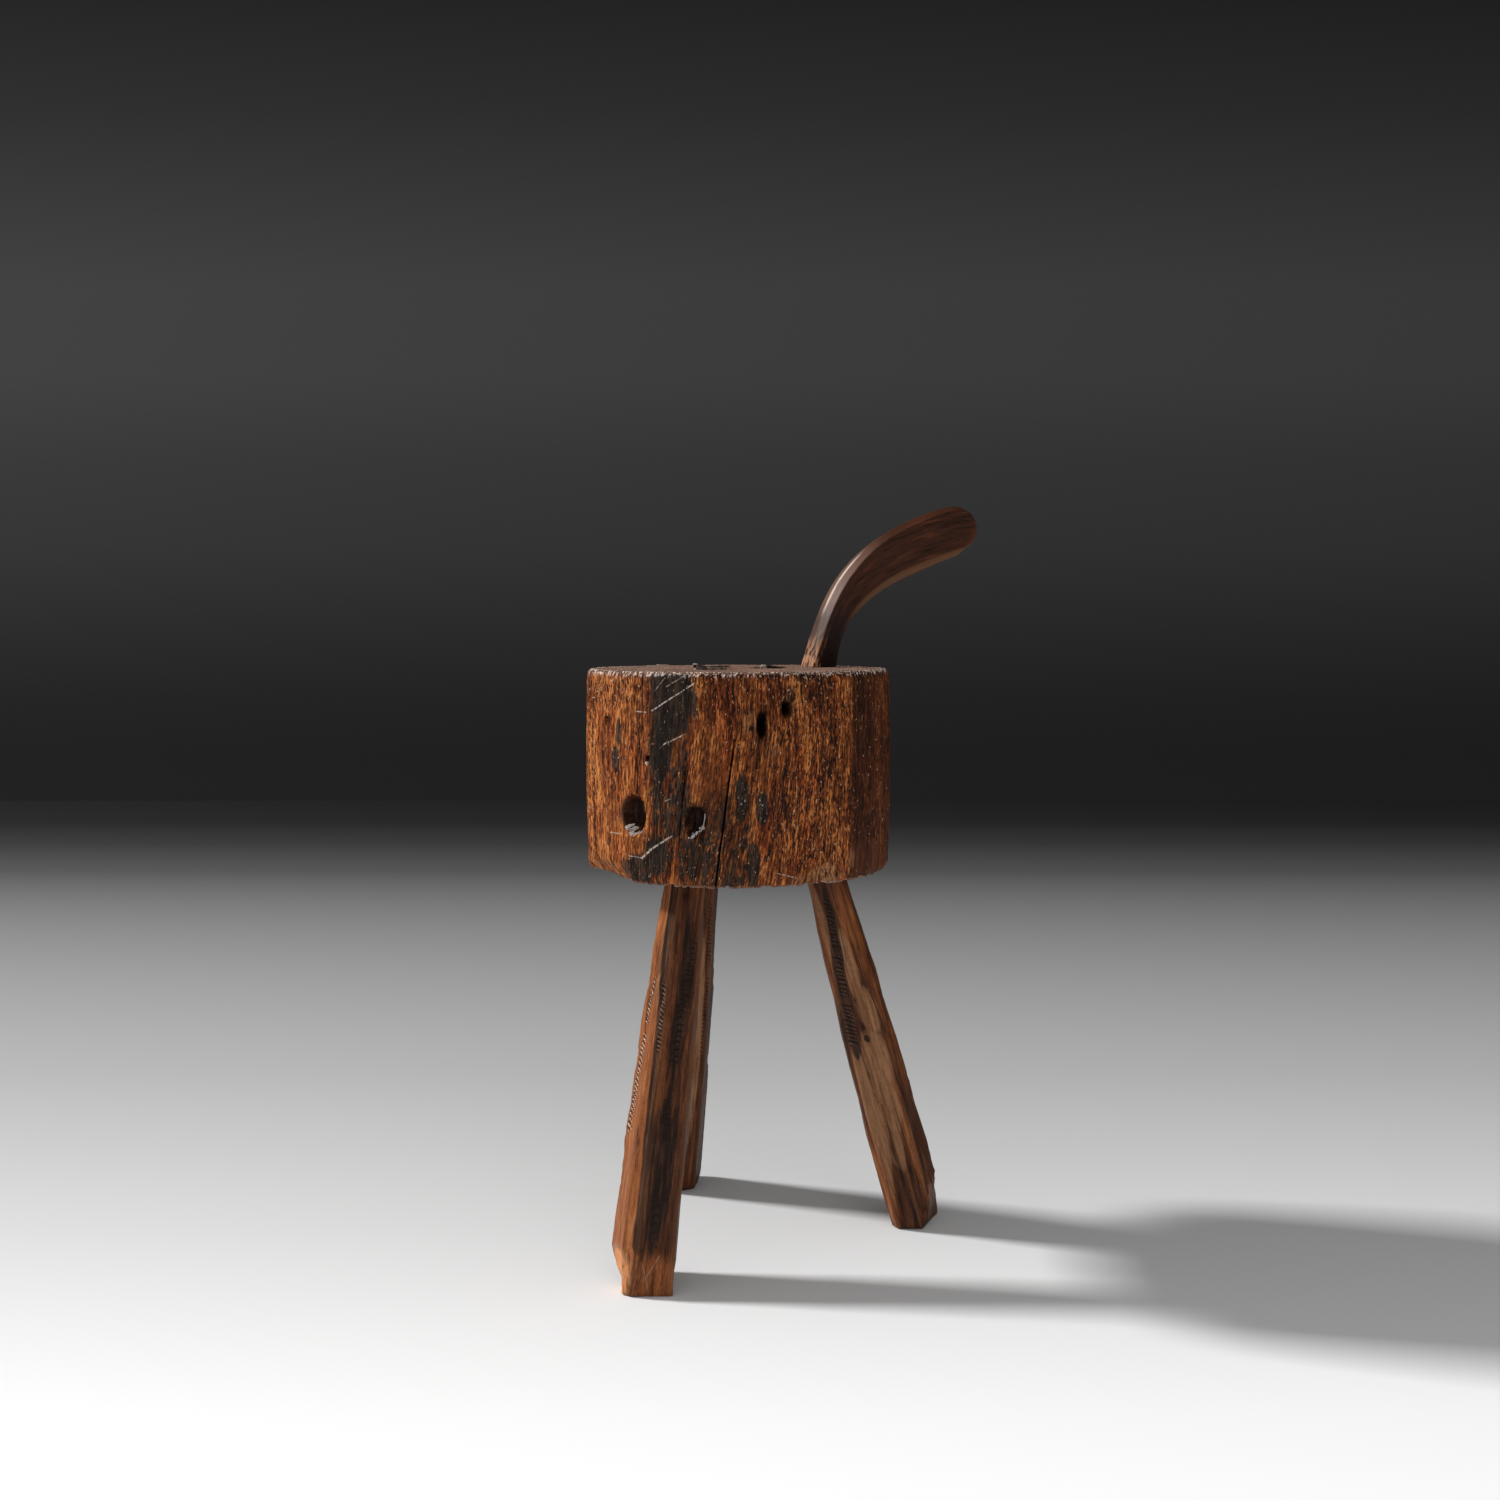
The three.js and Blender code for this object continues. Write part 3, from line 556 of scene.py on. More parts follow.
def make_leg(name):
    """A hewn leg on its foot, with the round tenon that goes up through the log."""
    leg = LEGS[name]
    surface = node_surface("leg_" + name)
    shoulder = SEAT_UNDERSIDE - SEAT_GAP
    ridges = sorted(leg["ridges"])
    turns = [(lerp(ridge, following, share), share, following - ridge)
             for ridge, following in zip(ridges, ridges[1:] + [ridges[0] + 360]) for share in FLAT_SHARES]
    leg_rows = round(shoulder / LEG_ROW_HEIGHT)
    tenon_top = SEAT_TOP + leg["proud"][2]
    tenon_rows = round((tenon_top - shoulder) / TENON_ROW_HEIGHT)
    stations = [("foot", share) for share in (0, 0.5, 0.9)]
    foot_row = len(stations)
    stations += [("flats", shoulder * row / leg_rows) for row in range(leg_rows + 1)]
    stations += [("tenon", lerp(shoulder, tenon_top - 0.5, row / tenon_rows)) for row in range(tenon_rows + 1)]
    stations += [("end", share) for share in (1, 0.66, 0.33, 0)]
    lean = atan((leg["foot_reach"] - leg["tenon_reach"]) / SEAT_TOP)

    def on_tenon(zone, level, turn):
        height = level if zone == "tenon" else tenon_top
        radius = TENON_RADIUS / hypot(cos(lean) * cos(radians(turn)), sin(radians(turn)))
        if zone == "end":
            radius = (radius - 0.6) * level
        middle = leg_axis(leg, height)
        position = middle + polar(leg["azimuth"] + turn, radius)
        grain = polar(turn, radius, height)
        low, high, rise = leg["proud"]
        off = position.x - middle.x
        proud = smooth(low - 1, low + 1, off) * (1 - smooth(high - 1, high + 1, off))
        slope = lerp(rise, 0.4 * rise, smooth(low, high, off))
        top = SEAT_TOP + lerp(-TENON_SUNK, slope, proud) - 0.5 * furrow(noise.noise(grain / 3))
        position.z = top if zone == "end" else min(position.z, top - 0.4)
        end_grain = 1 if height > SEAT_TOP - 8 else 0
        # a painted highlight on the end of the proud tenon that faces the light
        tenon_glint = proud * (1 - smooth(low + 2.5, low + 5, off))
        return position, (grain * MM, NONE, (end_grain, 0, 0), (0, tenon_glint, 0))

    def place(column, row):
        zone, level = stations[row]
        turn, share, flat = turns[column]
        if zone in ("tenon", "end"):
            return on_tenon(zone, level, turn)
        azimuth = leg["azimuth"] + turn
        height = 0 if zone == "foot" else level
        level_in_leg = max(SEAT_GAP, min(shoulder - SEAT_GAP, height))
        radius = radius_at(surface, leg_axis(leg, level_in_leg), azimuth, 60)
        middle = leg_axis(leg, height)
        grain = polar(turn, radius, height)
        if zone == "foot":
            return middle + polar(azimuth, (radius - FOOT_WEAR) * level), (grain * MM, NONE, END_GRAIN, NONE)
        # the axe leaves shallow scallops along each flat, and the ridges between flats are worn
        across = sin(pi * share)
        scallop = 0.35 * abs(sin(pi * (height / STROKE + 0.61 * flat))) * across
        chip = smooth(0.1, 0.6, drawn_out(grain, 7, 16))
        near_ridge = 1 - smooth(0, 0.12, min(share, 1 - share))
        worn = near_ridge * (RIDGE_WEAR + 0.7 * chip)
        fibres = 0.22 * furrow(drawn_out(grain, 2.4, 40)) + 0.12 * furrow(drawn_out(grain, 1.3, 14, 1))
        tick, glint = notches(leg["ticks"], azimuth, height)
        depth = scallop + worn + fibres + tick
        if row == foot_row:
            depth += FOOT_WEAR
        dark, pale, orange = (patches(leg[kind], azimuth, height) for kind in ("dark", "pale", "orange"))
        # the side that catches the light is painted orange, and a strip just past its edge painted shade
        if leg["lit_edge"]:
            past = turn_between(azimuth, np.interp(height, *zip(*leg["lit_edge"])))
            orange = max(orange, smooth(1.5, -1.5, past) * smooth(-100, -70, past))
            beside = smooth(-1.5, 1.5, past) * smooth(22, 8, past) * smooth(30, 38, height)
            dark = max(dark, 0.75 * beside)
        position = middle + polar(azimuth, radius - depth)
        return position, (grain * MM, (dark, pale, orange), (0, near_ridge, tick), (depth, glint, 0))

    piece = make_piece("hewn_leg_" + name, rolled_grid(len(turns), len(stations) - 1, place), 40)
    cut_out(piece, [kerf("wedge_" + name)])
    return piece


# Wedges

WEDGE_LEFT_PROUD = 0.4  # share of each wedge's rise above the seat that wear has left


def kerf(node):
    """The cut that a wedge sits in: the wedge's own shape, a gap larger."""
    body = node_body(node)
    bmesh.ops.triangulate(body, faces=body.faces)
    body.normal_update()
    for corner in body.verts:
        corner.co += corner.normal * SEAT_GAP * 1.6
    add_plain_attributes(body)
    return body


def make_wedge(node):
    """A split wedge with worn edges."""
    body = node_body(node)
    edges = [edge for edge in body.edges if edge.calc_face_angle(0) > radians(30)]
    bmesh.ops.bevel(body, geom=edges, offset=0.35, offset_type="OFFSET", segments=2, profile=0.5,
                    affect="EDGES", material=-1)
    low = Vector([min(corner.co[axis] for corner in body.verts) for axis in range(3)])
    high = Vector([max(corner.co[axis] for corner in body.verts) for axis in range(3)])
    for axis, step in ((0, 1.6), (1, 1.6), (2, 3)):
        normal = Vector([1 if other == axis else 0 for other in range(3)])
        for place in range(1, int((high[axis] - low[axis]) / step) + 1):
            geometry = body.verts[:] + body.edges[:] + body.faces[:]
            bmesh.ops.bisect_plane(body, geom=geometry, plane_co=low + normal * step * place, plane_no=normal)
    body.normal_update()
    for corner in body.verts:
        corner.co -= corner.normal * 0.18 * (1 + noise.fractal(corner.co / 2.2, 0.8, 2, 2))
        if corner.co.z > SEAT_TOP:
            corner.co.z = lerp(SEAT_TOP, corner.co.z, WEDGE_LEFT_PROUD)
    bmesh.ops.recalc_face_normals(body, faces=body.faces)
    add_plain_attributes(body)
    return make_piece("split_" + node, body, 35)


# Handle

def bezier(points, share):
    """A point on a curve that is given by three or four control points."""
    points = [Vector(point) for point in points]
    while len(points) > 1:
        points = [first.lerp(second, share) for first, second in zip(points, points[1:])]
    return points[0]


def even_path(pieces, count):
    """Evenly spaced points along a path of curves."""
    fine = [bezier(pieces[0], 0)]
    for piece in pieces:
        fine += [bezier(piece, step / 200) for step in range(1, 201)]
    lengths = [0]
    for first, second in zip(fine, fine[1:]):
        lengths.append(lengths[-1] + (second - first).length)
    wanted = np.linspace(0, LAST_STATION_SHARE * lengths[-1], count)
    across = np.interp(wanted, lengths, [point.x for point in fine])
    up = np.interp(wanted, lengths, [point.y for point in fine])
    return [Vector(pair) for pair in zip(across, up)]


def softened(corners, counts, reach, steps=4):
    """Points round a closed outline whose corners are rounded; counts gives the points inside each side."""
    points = []
    total = len(corners)
    for place, corner in enumerate(corners):
        before = corners[place - 1]
        after = corners[(place + 1) % total]
        back = min(reach, 0.4 * (before - corner).length)
        on = min(reach, 0.4 * (after - corner).length)
        start = corner + (before - corner).normalized() * back
        end = corner + (after - corner).normalized() * on
        for step in range(steps + 1):
            points.append((bezier((start, corner, end), step / steps), place, True))
        next_start = after + (corner - after).normalized() * min(reach, 0.4 * (after - corner).length)
        for step in range(1, counts[place] + 1):
            points.append((end.lerp(next_start, step / (counts[place] + 1)), place, False))
    return points


def handle_section(width, share):
    """The arm's section: from the inner edge at 0 to the ridge of the outer edge, and from side to side."""
    ends = HANDLE_THICKNESS["foot" if share < 0.5 else "tip"]
    half = lerp(HANDLE_THICKNESS["middle"], ends, (2 * abs(share - 0.5)) ** 2) / 2
    widest = width * CHAMFER_LIMIT
    fall = min(lerp(OUTER_CHAMFER["foot"], OUTER_CHAMFER["tip"], share), widest)
    chamfer = min(lerp(INNER_CHAMFER["foot"], INNER_CHAMFER["tip"], min(1, 2 * share)), widest)
    corners = [(width, 0), (width - fall, -half), (chamfer, -half), (0, chamfer - half),
               (0, half - chamfer), (chamfer, half), (width - fall, half)]
    return softened([Vector(corner) for corner in corners], (9, 12, 4, 6, 4, 12, 9), 1.5)


def from_handle(local):
    """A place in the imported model's frame, from one in the handle's plane, beside it and above the seat."""
    return HANDLE_FOOT + Matrix.Rotation(radians(HANDLE_AZIMUTH), 3, "Z") @ local


def tenon_middle(height):
    """The middle of the handle's leaning tenon at a height above the seat, less than nothing inside the log."""
    return Vector((height * tan(radians(HANDLE_TENON["lean"])), 0, height))


def make_handle():
    """The arm, cut from a thick plank, with the round tenon that goes down into the log."""
    outer = even_path((OUTER_CURVE, TIP_CORNER, (TIP_CORNER[2], TIP_MIDDLE)), HANDLE_STATIONS + 1)
    inner = even_path((INNER_CURVE, (INNER_CURVE[3], TIP_MIDDLE)), HANDLE_STATIONS + 1)
    widths = [(far - near).length for far, near in zip(outer, inner)]
    sections = [handle_section(width, station / HANDLE_STATIONS) for station, width in enumerate(widths)]
    columns = len(sections[0])
    length = sum((b - a).length for a, b in zip(outer, outer[1:]))
    stations = [("end", 0), ("end", 0.5)]
    stations += [("tenon", height) for height in np.linspace(-HANDLE_TENON["length"], -0.5, 16)]
    stations += [("shoulder", 0.5)]
    stations += [("arm", station) for station in range(HANDLE_STATIONS + 1)]
    stations += [("tip", 0.5), ("tip", 0)]

    def on_arm(column, station):
        (from_inner, side), _, _ = sections[station][column]
        flat_place = inner[station].lerp(outer[station], from_inner / widths[station])
        return Vector((flat_place.x, side, flat_place.y + SEAT_GAP * (1 - station / HANDLE_STATIONS)))

    def place(column, row):
        zone, level = stations[row]
        if zone in ("end", "tenon", "shoulder"):
            first = on_arm(column, 0)
            height = {"end": -HANDLE_TENON["length"], "shoulder": SEAT_GAP}.get(zone, level)
            turn = atan2(first.y, first.x)
            radius = HANDLE_TENON["radius"] * (level if zone == "end" else 1)
            local = tenon_middle(height) + Vector((radius * cos(turn), radius * sin(turn), 0))
            if zone == "shoulder":
                local = local.lerp(first, 0.3)
                local.z = height
            return from_handle(local), (local * MM, NONE, END_GRAIN, NONE)
        if zone == "tip":
            ring = [on_arm(other, HANDLE_STATIONS) for other in range(columns)]
            local = (sum(ring, Vector()) / columns).lerp(ring[column], level)
            return from_handle(local), (local * MM, NONE, (0, 0, 1), NONE)
        local = on_arm(column, level)
        (from_inner, side), flat, rounded = sections[level][column]
        share = level / HANDLE_STATIONS
        grain = Vector((from_inner, side, share * length))
        middle = inner[level].lerp(outer[level], 0.5)
        inwards = Vector((middle.x - local.x, -side, middle.y - local.z)).normalized()
        waviness = 0.25 + 0.25 * noise.fractal(Vector((from_inner / 20, side / 20, grain.z / 26)), 0.8, 2, 2)
        fibres = 0.12 * furrow(drawn_out(grain, 2.2, 30))
        at_foot = 1 - smooth(0, 0.16, share)
        chips = 0.8 * at_foot * smooth(0.1, 0.7, drawn_out(grain, 2.4, 6, 3))
        depth = max(0, waviness) + fibres + chips
        local = local + inwards * depth
        local.z = max(local.z, SEAT_GAP)
        outer_flat, chamfer, crest = (float(found) for found in (flat in (0, 6), flat in (2, 4), flat == 0 and rounded))
        # lit marks the side whose colour is painted lit; the foot of the other side is painted shade
        lit = float(flat in (0, 5, 6) or from_inner > 0.7 * widths[level])
        marks, finish, wear = (at_foot, outer_flat, chamfer), (0, crest, share), (depth, lit, 0)
        return from_handle(local), (grain * MM, marks, finish, wear)

    piece = make_piece("carved_handle", rolled_grid(columns, len(stations) - 1, place), 45)
    cut_out(piece, [kerf("handle_wedge")])
    return piece


def handle_bar(radius, below, above):
    """A round bar along the handle's tenon."""
    low, high = (from_handle(tenon_middle(height)) for height in (below, above))
    return leaning_cylinder(low, high, radius)


seat = make_seat()
bores = [
    leaning_cylinder(leg_axis(leg, SEAT_UNDERSIDE - 12), leg_axis(leg, SEAT_TOP + 12), TENON_RADIUS + SEAT_GAP)
    for leg in LEGS.values()
]
bores.append(handle_bar(HANDLE_TENON["radius"] + SEAT_GAP, -HANDLE_TENON["length"] - SEAT_GAP, 12))
cut_out(seat, bores)

legs = {name: make_leg(name) for name in LEGS}
wedges = {node: make_wedge(node) for node in ("wedge_front_left", "wedge_right", "wedge_back", "handle_wedge")}
handle = make_handle()


# Materials

class Value:
    """What a socket gives, written in formulas like a number."""

    def __init__(self, look, socket):
        self.look = look
        self.socket = socket

    def calc(self, operation, *others):
        return self.look.node("ShaderNodeMath", {"operation": operation}, dict(enumerate((self, *others))))

    __add__ = __radd__ = partialmethod(calc, "ADD")
    __sub__ = partialmethod(calc, "SUBTRACT")
    __mul__ = __rmul__ = partialmethod(calc, "MULTIPLY")
    __truediv__ = partialmethod(calc, "DIVIDE")
    minimum = partialmethod(calc, "MINIMUM")
    maximum = partialmethod(calc, "MAXIMUM")

    def __rsub__(self, other):
        return self.look.node("ShaderNodeMath", {"operation": "SUBTRACT"}, {0: other, 1: self})

    def rise(self, low, high):
        """0 below low, 1 above high and an even rise between them."""
        settings = {"interpolation_type": "SMOOTHSTEP"}
        return self.look.node("ShaderNodeMapRange", settings, {"Value": self, "From Min": low, "From Max": high})


class Look:
    """The nodes of a material or a world, laid out by formulas. Its colour is painted on in layers."""

    def __init__(self, owner):
        owner.use_nodes = True
        self.owner = owner
        self.tree = owner.node_tree
        self.colour = None

    def node(self, kind, settings=None, inputs=None, output=0):
        node = self.tree.nodes.new(kind)
        for name, setting in (settings or {}).items():
            setattr(node, name, setting)
        for key, value in (inputs or {}).items():
            self.put(node.inputs[key], value)
        return Value(self, node.outputs[output])

    def put(self, socket, value):
        if isinstance(value, Value):
            self.tree.links.new(value.socket, socket)
        else:
            socket.default_value = value

    def attribute(self, name):
        return self.node("ShaderNodeAttribute", {"attribute_name": name}, output="Vector")

    def parts(self, vector):
        split = self.node("ShaderNodeSeparateXYZ", inputs={0: vector}).socket.node
        return [Value(self, split.outputs[axis]) for axis in range(3)]

    def vector_math(self, operation, first, second=None, output=0, scale=None):
        inputs = {key: value for key, value in ((0, first), (1, second), ("Scale", scale)) if value is not None}
        return self.node("ShaderNodeVectorMath", {"operation": operation}, inputs, output)

    def noise(self, across, along, detail=3):
        """Noise drawn out along the grain: across and along are the sizes of its lumps in millimetres."""
        scale = (1 / (across * MM), 1 / (across * MM), 1 / (along * MM))
        stretched = self.vector_math("MULTIPLY", self.attribute("grain"), scale)
        inputs = {"Vector": stretched, "Scale": 1, "Detail": detail, "Roughness": 0.55}
        return self.node("ShaderNodeTexNoise", inputs=inputs)

    def along(self, value, points):
        """A line through points, each a place and its level."""
        result = points[0][1]
        for (place, level), (next_place, next_level) in zip(points, points[1:]):
            inputs = {"Value": value, "From Min": place, "From Max": next_place, "To Max": next_level - level}
            result = self.node("ShaderNodeMapRange", inputs=inputs) + result
        return result

    def near_line(self, unrolled, radius, ends, width):
        """1 on the line between two places on an unrolled side and 0 from a width away."""
        first, last = (Vector((radians(azimuth) * radius, level, 0)) for azimuth, level in ends)
        way = last - first
        start = self.vector_math("SUBTRACT", unrolled, first)
        share = self.vector_math("DOT_PRODUCT", start, way / way.dot(way), output="Value").maximum(0).minimum(1)
        off = self.vector_math("SUBTRACT", start, self.vector_math("SCALE", way, scale=share))
        return self.vector_math("LENGTH", off, output="Value").rise(width, 0)

    def blend(self, factor, low, high):
        """A mix of two colours."""
        low, high = (colour if isinstance(colour, Value) else (*colour, 1) for colour in (low, high))
        return self.node("ShaderNodeMix", {"data_type": "RGBA"}, {0: factor, 6: low, 7: high}, output=2)

    def paint(self, mask, colour):
        self.colour = self.blend(mask, self.colour, colour)

    def finish(self, roughness, height=None, distance=0.5, shine=0.5):
        shader = self.tree.nodes["Principled BSDF"].inputs
        self.put(shader["Base Color"], self.colour)
        self.put(shader["Roughness"], roughness)
        self.put(shader["Specular IOR Level"], shine)
        if height is not None:
            inputs = {"Height": height, "Distance": distance * MM, "Strength": 1}
            self.put(shader["Normal"], self.node("ShaderNodeBump", inputs=inputs))


# The middle of the log's rings, in metres from its axis, and how wide a ring is
PITH = (0.006, -0.014, 0)
RING_WIDTH = 3.4
LEG_RADIUS = 22  # of the cylinder that a leg's side is unrolled from
# Colours of painted shade for deep gaps and for grooves, and of torn fibres with a painted highlight on them
DEEP_SHADE = (0.004, 0.002, 0.001)
PAINTED_SHADE = (0.012, 0.006, 0.004)
TORN_FIBRE_GLINTS = (0.95, 0.8, 0.7)


def log_look():
    """Dark weathered wood with raised grain, stained and torn, with painted shade in its hollows, checks and furrows
    and painted glints on its fibres, and end grain on its top and underside.
    """
    look = Look(bpy.data.materials.new("log_wood"))
    grain = look.attribute("grain")
    stain, cavity, crack = look.parts(look.attribute("marks"))
    end_grain, straw, rough = look.parts(look.attribute("finish"))
    depth, calm, darker = look.parts(look.attribute("wear"))
    # the side unrolled: millimetres round it from the right, and down from the top
    across, back, height = look.parts(look.node("ShaderNodeTexCoord", output="Object"))
    turn = (back - LOG_AXIS.y * MM).calc("ARCTAN2", across - LOG_AXIS.x * MM)
    drop = SEAT_TOP - height / MM
    unrolled = look.node("ShaderNodeCombineXYZ", inputs={0: turn * LOG_RADIUS, 1: drop})
    frayed = look.noise(1.3, 2.4, 2)
    # tone: the sum of broad bands, streaks, fibres and grit
    wide = look.noise(12, 70)
    streaks = look.noise(3.4, 40, 4)
    fibres = look.noise(1.2, 14, 2)
    grit = look.noise(1.3, 5, 2)
    lively = 1 - 0.6 * calm
    tone = 0.5 + (wide - 0.5) * 1.2 + (streaks - 0.5)
    tone = tone + ((fibres - 0.5) * 1.5 + (grit - 0.5) * (1.3 + 1.1 * rough)) * lively
    tone = tone + look.along(turn * degrees(1), SIDE_TONES)
    look.colour = look.blend(tone.rise(0.12, 0.48), (0.02, 0.0065, 0.0035), (0.105, 0.027, 0.007))
    look.paint(tone.rise(0.42, 0.72), (0.23, 0.061, 0.014))
    look.paint(tone.rise(0.7, 1), (0.52, 0.19, 0.05))
    ruddy = look.noise(13, 50, 2).rise(0.5, 0.64)
    look.paint(ruddy * 0.8, look.vector_math("MULTIPLY", look.colour, (0.88, 0.68, 0.62)))
    look.paint(darker * 0.6, (0.05, 0.014, 0.006))
    look.paint(stain * 0.8, look.vector_math("MULTIPLY", look.colour, (0.5, 0.56, 0.64)))
    dark_tone = look.blend(tone.rise(0.35, 0.9), (0.011, 0.0085, 0.0065), (0.045, 0.03, 0.021))
    stained = stain + (streaks - 0.5) * 2.2 + (look.noise(4, 7, 2) - 0.5) * 2 * (1 - calm)
    look.paint(stained.rise(0.3, 0.75) * stain.rise(0, 0.3) * 0.94, dark_tone)
    # painted shade in the hollows
    hollow_shade = look.blend(frayed.rise(0.56, 0.74), (0.01, 0.005, 0.0035), (0.075, 0.024, 0.012))
    look.paint(cavity * 0.95, hollow_shade)
    look.paint(straw * fibres.rise(0.4, 0.55) * 0.8, (0.36, 0.17, 0.07))
    # painted shade in the deepest furrows of the side
    look.paint(depth.rise(0.8, 2) * 0.75, (0.012, 0.005, 0.003))
    # dark pits, and pale flecks that are painted glints, most where the wood is torn
    pits = look.noise(1.5, 5, 1)
    look.paint(pits.rise(0.62, 0.7) * lively * 0.9, (0.014, 0.006, 0.004))
    gaps = look.noise(1.5, 8, 1) + rough * 0.03
    look.paint(gaps.rise(0.63, 0.7) * lively * 0.9, (0.016, 0.006, 0.004))
    near_rim = drop.rise(16, 3) * lively
    painted_glints = look.noise(1.3, 3, 1) + rough * 0.05 + near_rim * 0.04
    painted_glints = painted_glints.rise(0.7, 0.77) * lively * (1 - cavity)
    look.paint(painted_glints * 0.8, (0.58, 0.38, 0.24))
    speck = look.noise(1.4, 2.4, 1) * stain.rise(0.9, 1) * calm.rise(0.3, 0)
    look.paint(speck.rise(0.66, 0.74) * 0.7, (0.4, 0.35, 0.3))
    # the torn edge of the top: painted shade between the torn fibres, and pale fibres that carry a painted highlight
    side_only = (1 - end_grain) * (1 - 0.5 * calm)
    torn = look.noise(1.6, 4, 2)
    look.paint(drop.rise(7, 1.5) * torn.rise(0.5, 0.45) * side_only, PAINTED_SHADE)
    look.paint(drop.rise(5, 0.5) * torn.rise(0.55, 0.59) * side_only, TORN_FIBRE_GLINTS)
    for first, last, width, strength in PALE_LINES:
        line = look.near_line(unrolled, LOG_RADIUS, (first, last), width) * frayed.rise(0.38, 0.52) * strength
        look.paint(line, (0.62, 0.52, 0.44))
    # painted shadow in the deepest parts of the hollows and clefts
    for first, last, width in DEEP_PLACES:
        look.paint(look.near_line(unrolled, LOG_RADIUS, (first, last), width), DEEP_SHADE)
    for first, last, width in LIPS:
        near = look.near_line(unrolled, LOG_RADIUS, (first, last), 1.5 * width)
        line = (near + (frayed - 0.5) * 5).rise(0.5, 0.75) * near.rise(0, 0.3)
        look.paint(line, (0.72, 0.66, 0.62))
    # painted shade in the drying check
    look.paint(crack, DEEP_SHADE)
    # the end grain: rings round a pith that lies off the middle
    pith = look.vector_math("SUBTRACT", grain, PITH)
    flat = look.vector_math("MULTIPLY", pith, (1, 1, 0))
    ring_distance = look.vector_math("LENGTH", flat, output="Value")
    wobble = look.noise(24, 24, 2) * 0.012
    rings = ((ring_distance + wobble) * (2 * pi / (RING_WIDTH * MM))).calc("SINE")
    soiled = look.noise(30, 30, 3)
    end = look.blend(rings.rise(-1, 1), (0.2, 0.11, 0.08), (0.31, 0.185, 0.135))
    end = look.blend(soiled.rise(0.42, 0.66) * 0.6, end, (0.085, 0.045, 0.031))
    pores = look.noise(1.9, 1.9, 2)
    end = look.blend(pores.rise(0.5, 0.66) * 0.8, end, (0.06, 0.03, 0.021))
    end = look.blend(pores.rise(0.4, 0.33) * 0.7, end, (0.45, 0.31, 0.24))
    # painted shade where the top is cut deep, in its drying checks
    end = look.blend(depth.rise(1.2, 3), end, (0.02, 0.012, 0.009))
    # the torn rim on the top: painted shade between the fibres, and pale fibres with a painted highlight
    end = look.blend(straw * torn.rise(0.5, 0.45) * 0.8, end, (0.02, 0.01, 0.007))
    end = look.blend(straw * torn.rise(0.54, 0.58), end, TORN_FIBRE_GLINTS)
    end = look.blend(cavity * 0.9, end, (0.03, 0.017, 0.012))
    look.paint(end_grain, end)
    height = (streaks * 0.5 + fibres * 0.5 + grit * (0.5 + 0.6 * rough)) * lively
    roughness = 0.5 - 0.1 * calm + 0.2 * end_grain
    look.finish(roughness, height, 1.1, 0.09)
    return look.owner


